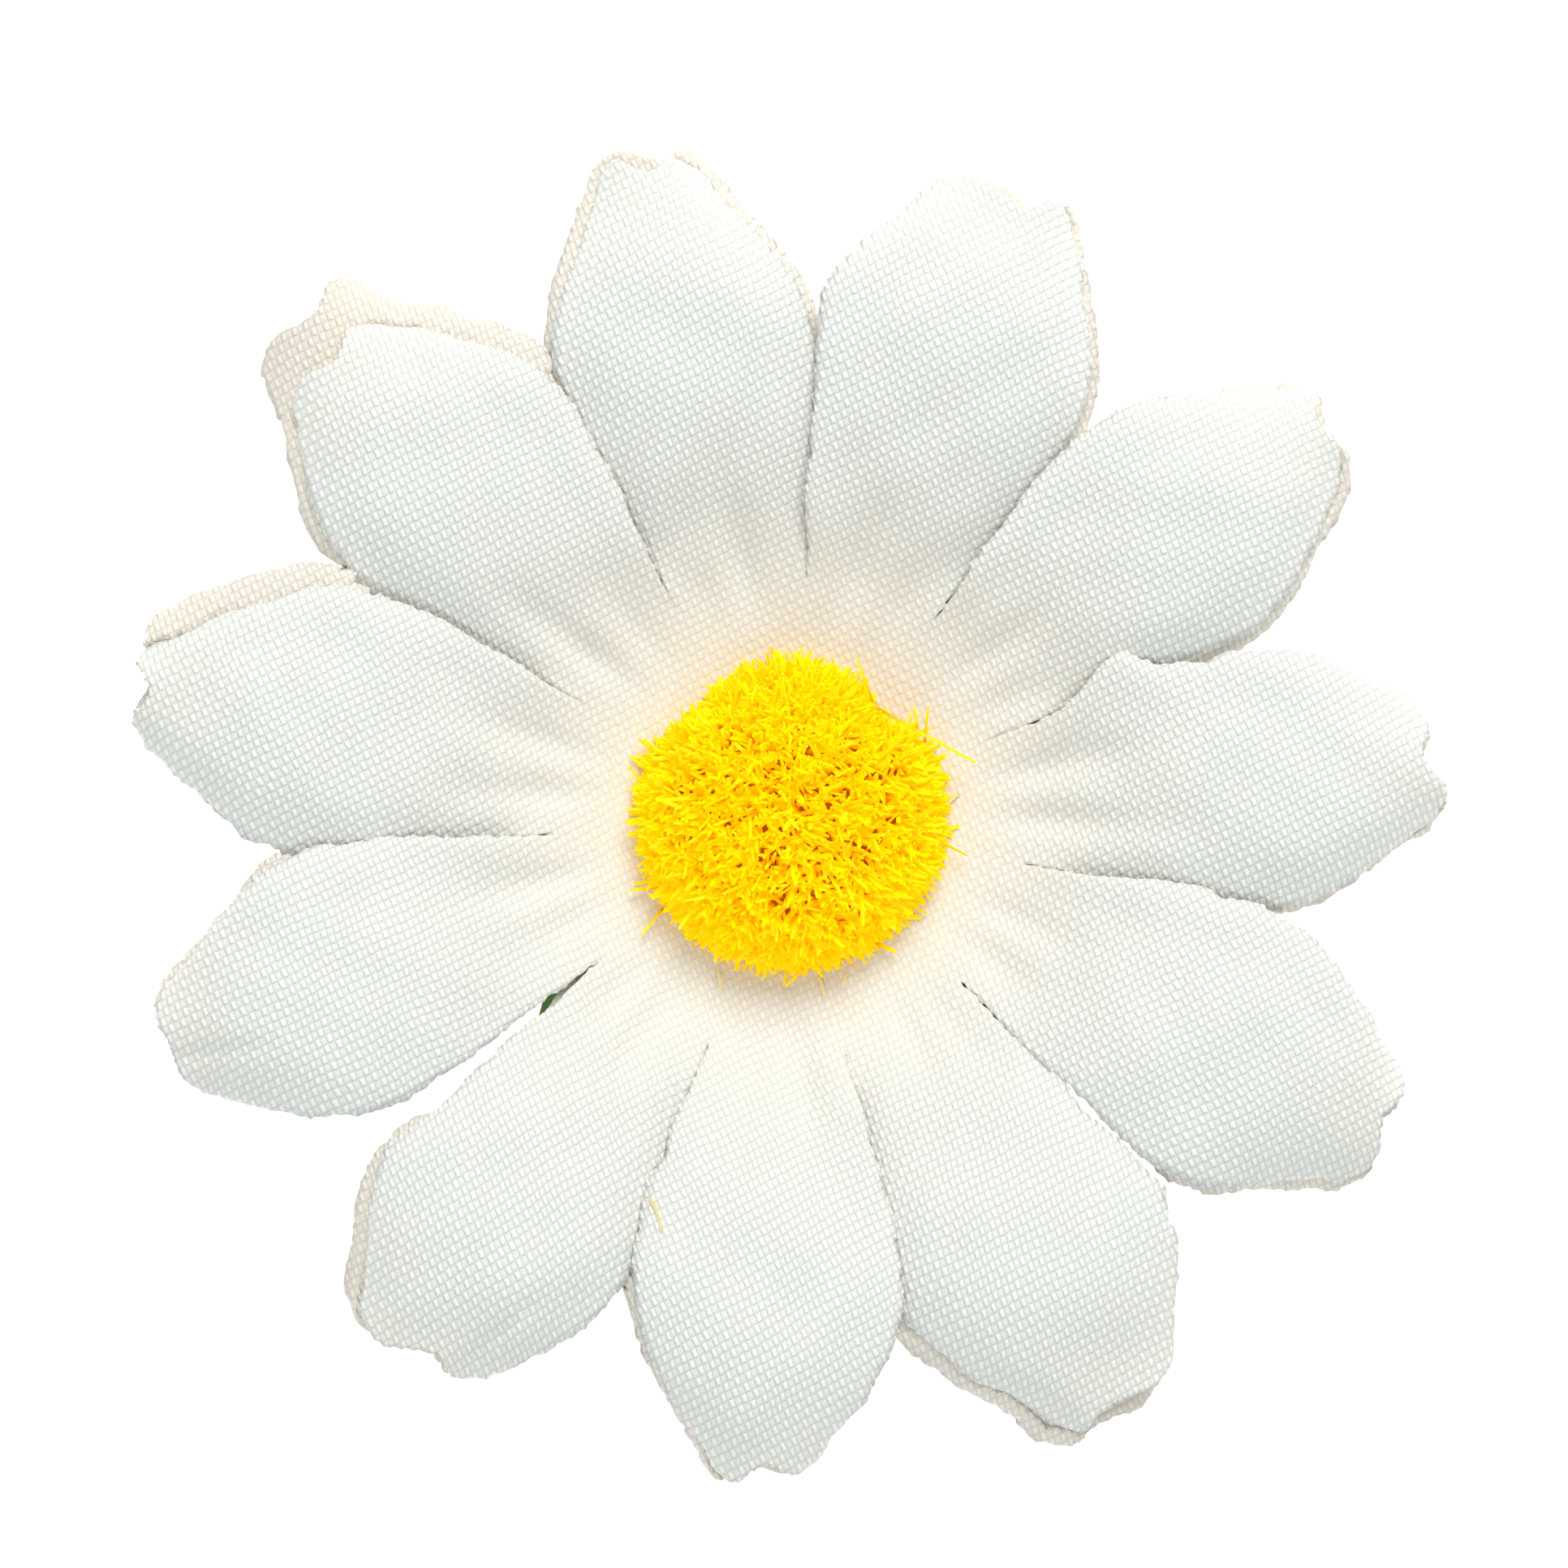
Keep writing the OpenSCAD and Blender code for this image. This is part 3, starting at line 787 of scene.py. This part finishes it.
# %% Long and stray fibres
# Each is a root and a tip seen from above, and how high its root stands over the hub.
STRAYS = [((2.85, 3.7), (2.3, 5.4), 1.4), ((2.8, 3.75), (6.15, 1.85), 1.3),
          ((0.55, -5.2), (-0.2, -5.85), 0.3), ((-0.1, -4.9), (-0.2, -5.85), 0.3),
          ((-4.5, 2.0), (-5.2, 2.6), 0.6), ((-4.4, -3.2), (-5.1, -4.15), 0.4),
          ((-4.6, -2.5), (-5.55, -2.6), 0.4), ((2.9, -4.4), (3.6, -4.7), 0.4),
          ((4.3, 2.9), (4.25, 3.7), 0.9), ((4.6, 2.5), (4.65, 3.75), 0.8)]
stray_roots = np.array([(*root, hub_z + lift) for root, tip, lift in STRAYS])
stray_tips = np.array([(*tip, hub_z + lift + 0.25) for root, tip, lift in STRAYS])
stray_ways = stray_tips - stray_roots
stray_bends = dice.normal(size=stray_ways.shape) * 0.04
strays = plant("flock_strays", stray_roots, stray_ways, np.linalg.norm(stray_ways, axis=1),
               np.full(len(STRAYS), 0.17), stray_bends, dice, pile_yellow)

# Loose fibres that have fallen on the petals
pile_pale = fibre_material("pale_pile", ((0.88, 0.74, 0.36), (0.92, 0.80, 0.45),
                                         (0.93, 0.84, 0.52), (0.90, 0.78, 0.42)))
LOOSE = [((-4.8, -13.0), (-4.1, -13.95)), ((0.95, -5.6), (1.25, -6.2)), ((1.9, -5.5), (1.8, -5.95)),
         ((-2.55, -5.35), (-2.3, -6.0)), ((5.35, 0.3), (5.7, 0.75))]


def on_petals(x, y):
    """A place just over the front layer."""
    hit = front_tree.ray_cast(Vector((x, y, 30)), Vector((0, 0, -1)))[0]
    return (x, y, hit.z + 0.07)


loose_roots = np.array([on_petals(*root) for root, tip in LOOSE])
loose_tips = np.array([on_petals(*tip) for root, tip in LOOSE])
loose_ways = loose_tips - loose_roots
loose_bends = np.stack([loose_ways[:, 1], -loose_ways[:, 0], 0 * loose_ways[:, 0]], -1) * 0.25
loose = plant("loose_fibres", loose_roots, loose_ways, np.linalg.norm(loose_ways, axis=1),
              np.full(len(LOOSE), 0.15), loose_bends, dice, pile_pale)

for piece in (flock, strays, loose):
    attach(piece, FLOWER)
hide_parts("flock_pile")

# %% [markdown]
# ## Moulded plastic
# Under the pile sits a yellow button with a peg, and the peg is pressed into a green calyx whose
# sepals spread below the petals. Through the slits between the petals they show as dark lines.
# The button's exact solid is good as it is and only needs a finish. The calyx is made again with
# softer edges: a ring of points is extruded outwards, each ring is pulled to the outline of
# eight sepals, and a Solidify modifier gives the wall its thickness.

# %% Plastic material
def plastic_material(name, colour, dark, rough):
    """Moulded plastic with faint flow marks and a fine grain."""
    material, tree, shader = new_material(name)
    place = own_place(tree)
    flow = noise(tree, place, 220, detail=4)
    tree.links.new(mix_colour(tree, flow, colour, dark), shader.inputs["Base Color"])
    tree.links.new(math_node(tree, "MULTIPLY_ADD", flow, 0.25, rough), shader.inputs["Roughness"])
    add_relief(tree, shader, noise(tree, place, 1500), 0.03, 0.5)
    shader.inputs["Subsurface Weight"].default_value = 0.1
    shader.inputs["Subsurface Scale"].default_value = 0.5 * MM
    return material


# The button is painted dark orange-brown, darker than yellow plastic: painted shade in the gaps of the
# pile.
button_plastic = plastic_material("yellow_plastic", (0.62, 0.24, 0.0), (0.45, 0.16, 0.0), 0.8)
calyx_plastic = plastic_material("green_plastic", (0.10, 0.26, 0.05), (0.05, 0.15, 0.03), 0.35)


def finish_node(name, material):
    """Give a CAD node that stays a finish of its own."""
    node = frame["nodes"][name]
    node.data.materials.clear()
    node.data.materials.append(material)


finish_node("centre_button", button_plastic)
print("button finished")

# %% Calyx
SEPALS = 8
CALYX_RINGS = 16
SEPAL_T = 0.42                       # thickness of the wall
SOFTENED = 0.05                      # how far the soft shape stays inside the solid one
SEPAL_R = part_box("calyx")[1].x / MM - SOFTENED
calyx_top = rear_hub_z - SOLID_CLOTH - SOFTENED
half_sepal = smooth_curve((0, 2.2), (5, 2.3), (7.5, 2.35), (9.5, 2.0), (11, 1.3), (12, 0.6),
                          (SEPAL_R, 0.05))


def sepal_edge(angle):
    """Radius of the calyx outline at an angle from the nearest sepal's middle."""
    r = np.linspace(4, SEPAL_R, 400)
    inside = r * math.sin(abs(angle)) <= half_sepal(r * math.cos(angle))
    return r[inside].max()


bpy.ops.object.select_all(action="DESELECT")
bpy.ops.mesh.primitive_circle_add(vertices=SEPALS * 32, radius=1, fill_type="TRIFAN")
calyx = bpy.context.object
calyx.name = "calyx_moulding"
bpy.ops.object.mode_set(mode="EDIT")
pick(calyx, "edges", lambda edge: edge.is_boundary)
for ring in range(1, CALYX_RINGS):
    extrude_ring((ring + 1) / ring)
shape = bmesh.from_edit_mesh(calyx.data)
sepal_share = 2 * math.pi / SEPALS
for v in shape.verts:
    ring = math.hypot(v.co.x, v.co.y) / CALYX_RINGS
    angle = math.atan2(v.co.y, v.co.x)
    off = (angle + sepal_share / 2) % sepal_share - sepal_share / 2
    r = ring * sepal_edge(off)
    rise = 0.35 * soft_step((r - 6.5) / 3) + 0.9 * soft_step((r - 8.5) / 5)
    across = r * math.sin(off) / max(half_sepal(r), 0.3)
    rib = 0.16 * math.exp(-(across / 0.16) ** 2) * soft_step((r - 5) / 2)
    cup = 0.25 * across ** 2 * soft_step((r - 6) / 4)
    v.co = (r * math.cos(angle) * MM, r * math.sin(angle) * MM,
            (calyx_top + rise - rib - cup) * MM)
bmesh.update_edit_mesh(calyx.data)
bpy.ops.mesh.select_all(action="SELECT")
bpy.ops.mesh.remove_doubles(threshold=0.001 * MM)
face_outwards()
if sum(f.normal.z for f in calyx.data.polygons) < 0:
    calyx.data.flip_normals()
calyx.data.materials.append(calyx_plastic)
thicken(calyx, SEPAL_T)
print("calyx spans", round(calyx.dimensions.x / MM, 1), "mm")

# %% Calyx boss
# The boss below the sepals, which the glue holds, is a bevelled disc that reaches into them.
BOSS_R, BOSS_H = 4.6, 0.9
boss_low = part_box("calyx")[0].z / MM
bpy.ops.object.select_all(action="DESELECT")
bpy.ops.mesh.primitive_cylinder_add(vertices=64, radius=BOSS_R * MM, depth=BOSS_H * MM,
                                    location=(0, 0, (boss_low + BOSS_H / 2) * MM))
boss = bpy.context.object
boss.name = "calyx_boss"
bpy.ops.object.mode_set(mode="EDIT")
bpy.ops.mesh.select_all(action="DESELECT")
pick(boss, "faces", lambda face: abs(face.normal.z) > 0.9)
bpy.ops.mesh.bevel(offset=0.15 * MM, segments=3)
bpy.ops.object.mode_set(mode="OBJECT")
bpy.ops.object.transform_apply(location=True)
boss.data.materials.append(calyx_plastic)
for piece in (calyx, boss):
    select_only(piece)
    bpy.ops.object.shade_smooth_by_angle(angle=math.radians(40))
    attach(piece, FLOWER)
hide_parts("calyx")
print("boss", round(boss.dimensions.x / MM, 1), "mm across")

# %% [markdown]
# ## Felt pad
# A round of white felt covers the back of the flower, so that the glue has something to grip and
# the plastic never touches hair. Felt has no threads: it is a mat of tangled fibres. The disc
# starts as an open cylinder whose ends are closed ring by ring, its surface is moved a little at
# random, and a thin fuzz of the same fibre as the centre's stands out of its back and edge.

# %% Felt material
felt_stuff, felt_tree, felt_shader = new_material("felt")
felt_place = own_place(felt_tree)
tangle = noise(felt_tree, felt_place, 2600, detail=6, distortion=1.5)
felt_tone = mix_colour(felt_tree, noise(felt_tree, felt_place, 300), (0.80, 0.79, 0.75),
                       (0.72, 0.71, 0.67))
# Painted shade: the felt is darker where the tangle is low, in the hollows of its relief.
felt_tree.links.new(mix_colour(felt_tree, tangle, (0.55, 0.54, 0.50), felt_tone),
                    felt_shader.inputs["Base Color"])
add_relief(felt_tree, felt_shader, tangle, 0.3, 0.9)
felt_shader.inputs["Roughness"].default_value = 0.95
felt_shader.inputs["Sheen Weight"].default_value = 0.4
fuzz_white = fibre_material("felt_fuzz", ((0.78, 0.77, 0.73), (0.82, 0.81, 0.77),
                                          (0.88, 0.87, 0.84), (0.80, 0.79, 0.74)), rough=0.7)
print("felt material ready")

# %% Felt disc
FELT_RINGS = 14
felt_low, felt_high = (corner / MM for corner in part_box("felt_pad"))
felt_r = felt_high.x - 0.1           # the fuzz fills the rest
felt_t = felt_high.z - felt_low.z
bpy.ops.object.select_all(action="DESELECT")
bpy.ops.mesh.primitive_cylinder_add(vertices=128, radius=felt_r * MM, depth=felt_t * MM,
                                    end_fill_type="NOTHING",
                                    location=(0, 0, (felt_low.z + felt_high.z) / 2 * MM))
felt = bpy.context.object
felt.name = "felt_pad_disc"
bpy.ops.object.transform_apply(location=True)
bpy.ops.object.mode_set(mode="EDIT")
for end in (felt_low.z, felt_high.z):
    pick(felt, "edges", lambda edge: all(abs(v.co.z / MM - end) < 0.001 for v in edge.verts))
    for ring in range(FELT_RINGS, 1, -1):
        extrude_ring((ring - 1) / ring, (0, 0, end * MM))
    bpy.ops.mesh.edge_face_add()
    bpy.ops.mesh.select_all(action="DESELECT")
face_outwards()
felt.data.materials.append(felt_stuff)
rim_wave = dice.uniform(0, 2 * math.pi, 5)
middle = (felt_low.z + felt_high.z) / 2 * MM
for v in felt.data.vertices:
    r = math.hypot(v.co.x, v.co.y) / MM
    angle = math.atan2(v.co.y, v.co.x)
    uneven = sum(math.sin(angle * (3 + 4 * k) + rim_wave[k]) for k in range(5)) * 0.035
    edge = max(0.0, r / felt_r - 0.9) * 10
    v.co.x *= 1 + uneven / felt_r * edge
    v.co.y *= 1 + uneven / felt_r * edge
    v.co.z = middle + (v.co.z - middle) * (1 - 0.22 * edge ** 3)
    if v.co.z < middle:
        v.co.z += dice.uniform(0, 0.05) * MM
select_only(felt)
bpy.ops.object.shade_smooth()
print("felt disc:", len(felt.data.polygons), "faces")

# %% Felt fuzz
FUZZ = 2600                          # fibres, of which six in ten stand on the back
back = dice.random(FUZZ) < 0.6
fuzz_r = np.where(back, felt_r * np.sqrt(dice.random(FUZZ)) * 0.99, felt_r - 0.08)
fuzz_a = dice.uniform(0, 2 * math.pi, FUZZ)
edge_z = dice.uniform(felt_low.z + 0.15, felt_high.z - 0.15, FUZZ)
fuzz_z = np.where(back, felt_low.z + 0.06, edge_z)
fuzz_roots = np.stack([fuzz_r * np.cos(fuzz_a), fuzz_r * np.sin(fuzz_a), fuzz_z], -1)
fuzz_out = np.stack([np.cos(fuzz_a), np.sin(fuzz_a), 0 * fuzz_a], -1)
fuzz_down = np.array([0, 0, -1.0])
fuzz_ways = np.where(back[:, None], fuzz_down * 0.3, fuzz_out * 0.7)
fuzz_ways = fuzz_ways + unit(dice.normal(size=(FUZZ, 3))) * (1, 1, 0.35)
fuzz_bends = unit(dice.normal(size=(FUZZ, 3))) * 0.4 * (1, 1, 0.3)
fuzz = plant("felt_pad_fuzz", fuzz_roots, fuzz_ways, dice.uniform(0.3, 0.75, FUZZ),
             np.full(FUZZ, 0.05), fuzz_bends, dice, fuzz_white)
for piece in (felt, fuzz):
    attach(piece, FLOWER)
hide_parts("felt_pad")

# %% [markdown]
# ## Hot glue
# Hot glue goes on as a thick bead and is squeezed out when the parts are pressed together, so its
# edge swells and wanders. A cube is subdivided, rounded to a pillow and pushed about at random
# along its rim. The stuff is milky: light goes in, spreads and comes out again.

# %% Glue material
glue_stuff, glue_tree, glue_shader = new_material("hot_glue")
milk = noise(glue_tree, own_place(glue_tree), 500, detail=3)
glue_tree.links.new(mix_colour(glue_tree, milk, (0.78, 0.77, 0.70), (0.66, 0.64, 0.54)),
                    glue_shader.inputs["Base Color"])
glue_tree.links.new(math_node(glue_tree, "MULTIPLY_ADD", milk, 0.2, 0.16),
                    glue_shader.inputs["Roughness"])
add_relief(glue_tree, glue_shader, milk, 0.08, 0.6)
glue_shader.inputs["Subsurface Weight"].default_value = 0.5
glue_shader.inputs["Subsurface Scale"].default_value = 0.8 * MM
glue_shader.inputs["Coat Weight"].default_value = 0.3
finish_node("glue_disc", glue_stuff)
print("glue ready")

# %% Glue bead
bead_low, bead_high = (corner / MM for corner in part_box("glue_bead"))
bpy.ops.object.select_all(action="DESELECT")
bpy.ops.mesh.primitive_cube_add(size=2)
bead = bpy.context.object
bead.name = "glue_squeeze"
edit_all(bead)
bpy.ops.mesh.subdivide(number_cuts=27)
bpy.ops.object.mode_set(mode="OBJECT")
BEAD_SPARE = 0.2                     # what the swelling of its rim takes up
bead_half = (bead_high - bead_low) / 2
bead_middle = (bead_high + bead_low) / 2
bead_wave = dice.uniform(0, 2 * math.pi, 6)
for v in bead.data.vertices:
    x, y, z = v.co
    round_x = x * math.sqrt(1 - y * y / 2)
    round_y = y * math.sqrt(1 - x * x / 2)
    angle = math.atan2(round_y, round_x)
    rim = math.hypot(round_x, round_y)
    swell = 1 + 0.05 * math.sqrt(max(0.0, 1 - z * z)) * rim ** 4
    lumps = 1 + 0.022 * rim ** 3 * sum(math.sin(angle * (2 + k) + bead_wave[k]) for k in range(6))
    v.co = ((bead_middle.x + round_x * (bead_half.x - BEAD_SPARE) * swell * lumps) * MM,
            (bead_middle.y + round_y * (bead_half.y - BEAD_SPARE) * swell * lumps) * MM,
            (bead_middle.z + z * bead_half.z * (1 - 0.25 * rim ** 8)) * MM)
bead.data.materials.append(glue_stuff)
select_only(bead)
bpy.ops.object.shade_smooth()
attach(bead, FLOWER)
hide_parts("glue_bead")
print("glue bead", [round(d / MM, 2) for d in bead.dimensions])

# %% [markdown]
# ## The sprung clip
# The arms are stamped from thin steel strip, bent and nickel plated. Their exact solids are right
# as they stand, but stamped steel never has a perfect edge: the die rounds one side and the
# plating softens the rest. So each arm is a merged copy of its solid with a fine bevel along
# every sharp edge, and a plated finish with rubbed marks.

# %% Plated steel
def scratch_group():
    """Fine rubbed marks: long thin noise in two directions, and cloudy stains."""
    group = bpy.data.node_groups.new("rubbed_marks", "ShaderNodeTree")
    group.interface.new_socket("Place", in_out="INPUT", socket_type="NodeSocketVector")
    for name in ("Marks", "Stain"):
        group.interface.new_socket(name, in_out="OUTPUT", socket_type="NodeSocketFloat")
    source = group.nodes.new("NodeGroupInput")
    result = group.nodes.new("NodeGroupOutput")
    layers = []
    for stretch in ((900, 9000, 900), (7000, 1100, 1100)):
        mapping = group.nodes.new("ShaderNodeMapping")
        mapping.inputs["Scale"].default_value = stretch
        group.links.new(source.outputs["Place"], mapping.inputs["Vector"])
        lines = noise(group, mapping.outputs[0], 1, detail=3)
        layers.append(math_node(group, "MULTIPLY_ADD", lines, 4.0, -1.9, clamp=True))
    group.links.new(math_node(group, "MAXIMUM", *layers), result.inputs["Marks"])
    stain = noise(group, source.outputs["Place"], 260, detail=5)
    group.links.new(math_node(group, "MULTIPLY_ADD", stain, 3.0, -1.2, clamp=True),
                    result.inputs["Stain"])
    return group


RUBBED = scratch_group()


def steel_material(name, bright, dull, rough):
    """Plated steel: bright metal, duller where it is rubbed and a little stained."""
    material, tree, shader = new_material(name)
    rubbed = tree.nodes.new("ShaderNodeGroup")
    rubbed.node_tree = RUBBED
    tree.links.new(own_place(tree), rubbed.inputs["Place"])
    stain = math_node(tree, "MULTIPLY", rubbed.outputs["Stain"], 0.3)
    tree.links.new(mix_colour(tree, stain, bright, dull), shader.inputs["Base Color"])
    marks = math_node(tree, "MULTIPLY", rubbed.outputs["Marks"], 0.1)
    stained = math_node(tree, "MULTIPLY_ADD", rubbed.outputs["Stain"], 0.06, rough)
    tree.links.new(math_node(tree, "ADD", marks, stained), shader.inputs["Roughness"])
    add_relief(tree, shader, rubbed.outputs["Marks"], 0.004, 0.3)
    shader.inputs["Metallic"].default_value = 1
    return material


clip_steel = steel_material("clip_steel", (0.72, 0.70, 0.67), (0.52, 0.49, 0.44), 0.2)
pin_steel = steel_material("pin_steel", (0.66, 0.66, 0.66), (0.45, 0.44, 0.42), 0.28)
spring_steel = steel_material("spring_wire", (0.58, 0.58, 0.57), (0.38, 0.36, 0.33), 0.25)
print("three steels ready")


# %% Arms and pin
def softened_copy(node, name, body, material, bevel):
    """A merged copy of a CAD node with a fine bevel on its sharp edges."""
    piece = add_object(name, frame["nodes"][node].data.copy())
    piece.data.materials.clear()
    piece.data.materials.append(material)
    edit_all(piece)
    bpy.ops.mesh.remove_doubles(threshold=0.0005 * MM)
    bpy.ops.mesh.dissolve_limited(angle_limit=math.radians(1))
    bpy.ops.object.mode_set(mode="OBJECT")
    edge = piece.modifiers.new("soft_edges", "BEVEL")
    edge.width = bevel * MM
    edge.segments = 2
    edge.limit_method = "ANGLE"
    edge.angle_limit = math.radians(30)
    bpy.ops.object.modifier_apply(modifier=edge.name)
    bpy.ops.object.shade_smooth_by_angle(angle=math.radians(35))
    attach(piece, body)
    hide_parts(node)
    print(name, len(piece.data.polygons), "faces")


softened_copy("lower_arm", "lower_arm_stamping", JAW, clip_steel, 0.06)
softened_copy("upper_arm", "upper_arm_stamping", FLOWER, clip_steel, 0.06)
softened_copy("hinge_pin", "hinge_pin_rivet", FLOWER, pin_steel, 0.08)

# %% [markdown]
# ## The spring
# The spring is one round wire: four and a half turns about the hinge pin, and a straight leg at
# each end that presses on an arm's tail. The wire is a circle swept along the path, ring by ring.
# When the clip opens, one leg goes with each arm and the coil between them twists. Here the wire
# is one fixed piece, given to neither arm.

# %% Torsion spring
WIRE_R = 0.25
COIL_R = 1.05
TURNS = 4.5
RINGS_PER_TURN, WIRE_SIDES = 28, 12
PLATE_TOP = 0.6                      # upper side of the lower arm's plate
PLATE_UNDER = 3.6                    # underside of the upper arm's plate
TAIL_SLOPE = math.tan(math.radians(22))
GAP = 0.06                           # between the coil's turns, and under the legs
CLEAR = WIRE_R + GAP                 # from a plate to the middle of the wire
END_LENGTH, END_ROUND = 0.04, 0.06   # the rounding of the wire's cut ends
hinge_place = frame["joints"][0]["pos_m"]
hinge_y, hinge_z = (c / MM for c in hinge_place[1:])
bend_y, leg_end = hinge_y + 3, hinge_y + 6.4
coil_half = (2 * WIRE_R + GAP) * 2 + 0.1
ring_count = int(TURNS * RINGS_PER_TURN)
turn = np.linspace(0, TURNS * 2 * math.pi, ring_count + 1)
coil = np.stack([np.linspace(-coil_half, coil_half, ring_count + 1),
                 hinge_y - COIL_R * np.sin(turn), hinge_z - COIL_R * np.cos(turn)], -1)
leg_share = np.linspace(0, 1, 9)[:, None]
lower_leg = coil[0] + (np.array([-coil_half, leg_end, PLATE_TOP + CLEAR]) - coil[0]) * leg_share
upper_bend = np.array([coil_half, bend_y, PLATE_UNDER - CLEAR])
upper_end = np.array([coil_half, leg_end, PLATE_UNDER + (leg_end - bend_y) * TAIL_SLOPE
                      - CLEAR * math.hypot(1, TAIL_SLOPE)])
upper_leg = np.concatenate([coil[-1] + (upper_bend - coil[-1]) * leg_share[1:-1],
                            upper_bend + (upper_end - upper_bend) * leg_share])
route = np.concatenate([lower_leg[:0:-1], coil, upper_leg])
for _ in range(3):
    route[1:-1] = route[1:-1] * 0.5 + (route[:-2] + route[2:]) * 0.25

# A ring of points round each place on the route, and a rounded cut at each end
along = unit(np.gradient(route, axis=0))
side = unit(np.array([1.0, 0, 0]) - along * along[:, :1])
up = np.cross(along, side)
spot = np.arange(WIRE_SIDES) * 2 * math.pi / WIRE_SIDES
circle = side[:, None] * np.cos(spot)[:, None] + up[:, None] * np.sin(spot)[:, None]
rings = route[:, None] + circle * WIRE_R
first = route[0] - along[0] * END_LENGTH + circle[0] * (WIRE_R - END_ROUND)
last = route[-1] + along[-1] * END_LENGTH + circle[-1] * (WIRE_R - END_ROUND)
wire = np.concatenate([first[None], rings, last[None]])
corner = np.arange(len(wire) - 1)[:, None] * WIRE_SIDES + np.arange(WIRE_SIDES)
beside = np.arange(len(wire) - 1)[:, None] * WIRE_SIDES + (np.arange(WIRE_SIDES) + 1) % WIRE_SIDES
walls = np.stack([corner, beside, beside + WIRE_SIDES, corner + WIRE_SIDES], -1).reshape(-1, 4)
end = (len(wire) - 1) * WIRE_SIDES
caps = [list(range(WIRE_SIDES))[::-1], [end + i for i in range(WIRE_SIDES)]]
spring = mesh_piece("torsion_spring_wire", wire.reshape(-1, 3), walls.tolist() + caps,
                    spring_steel)
edit_all(spring)
face_outwards()
bpy.ops.object.shade_smooth_by_angle(angle=math.radians(50))
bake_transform(spring)
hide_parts("torsion_spring")
print("spring wire:", len(spring.data.polygons), "faces")
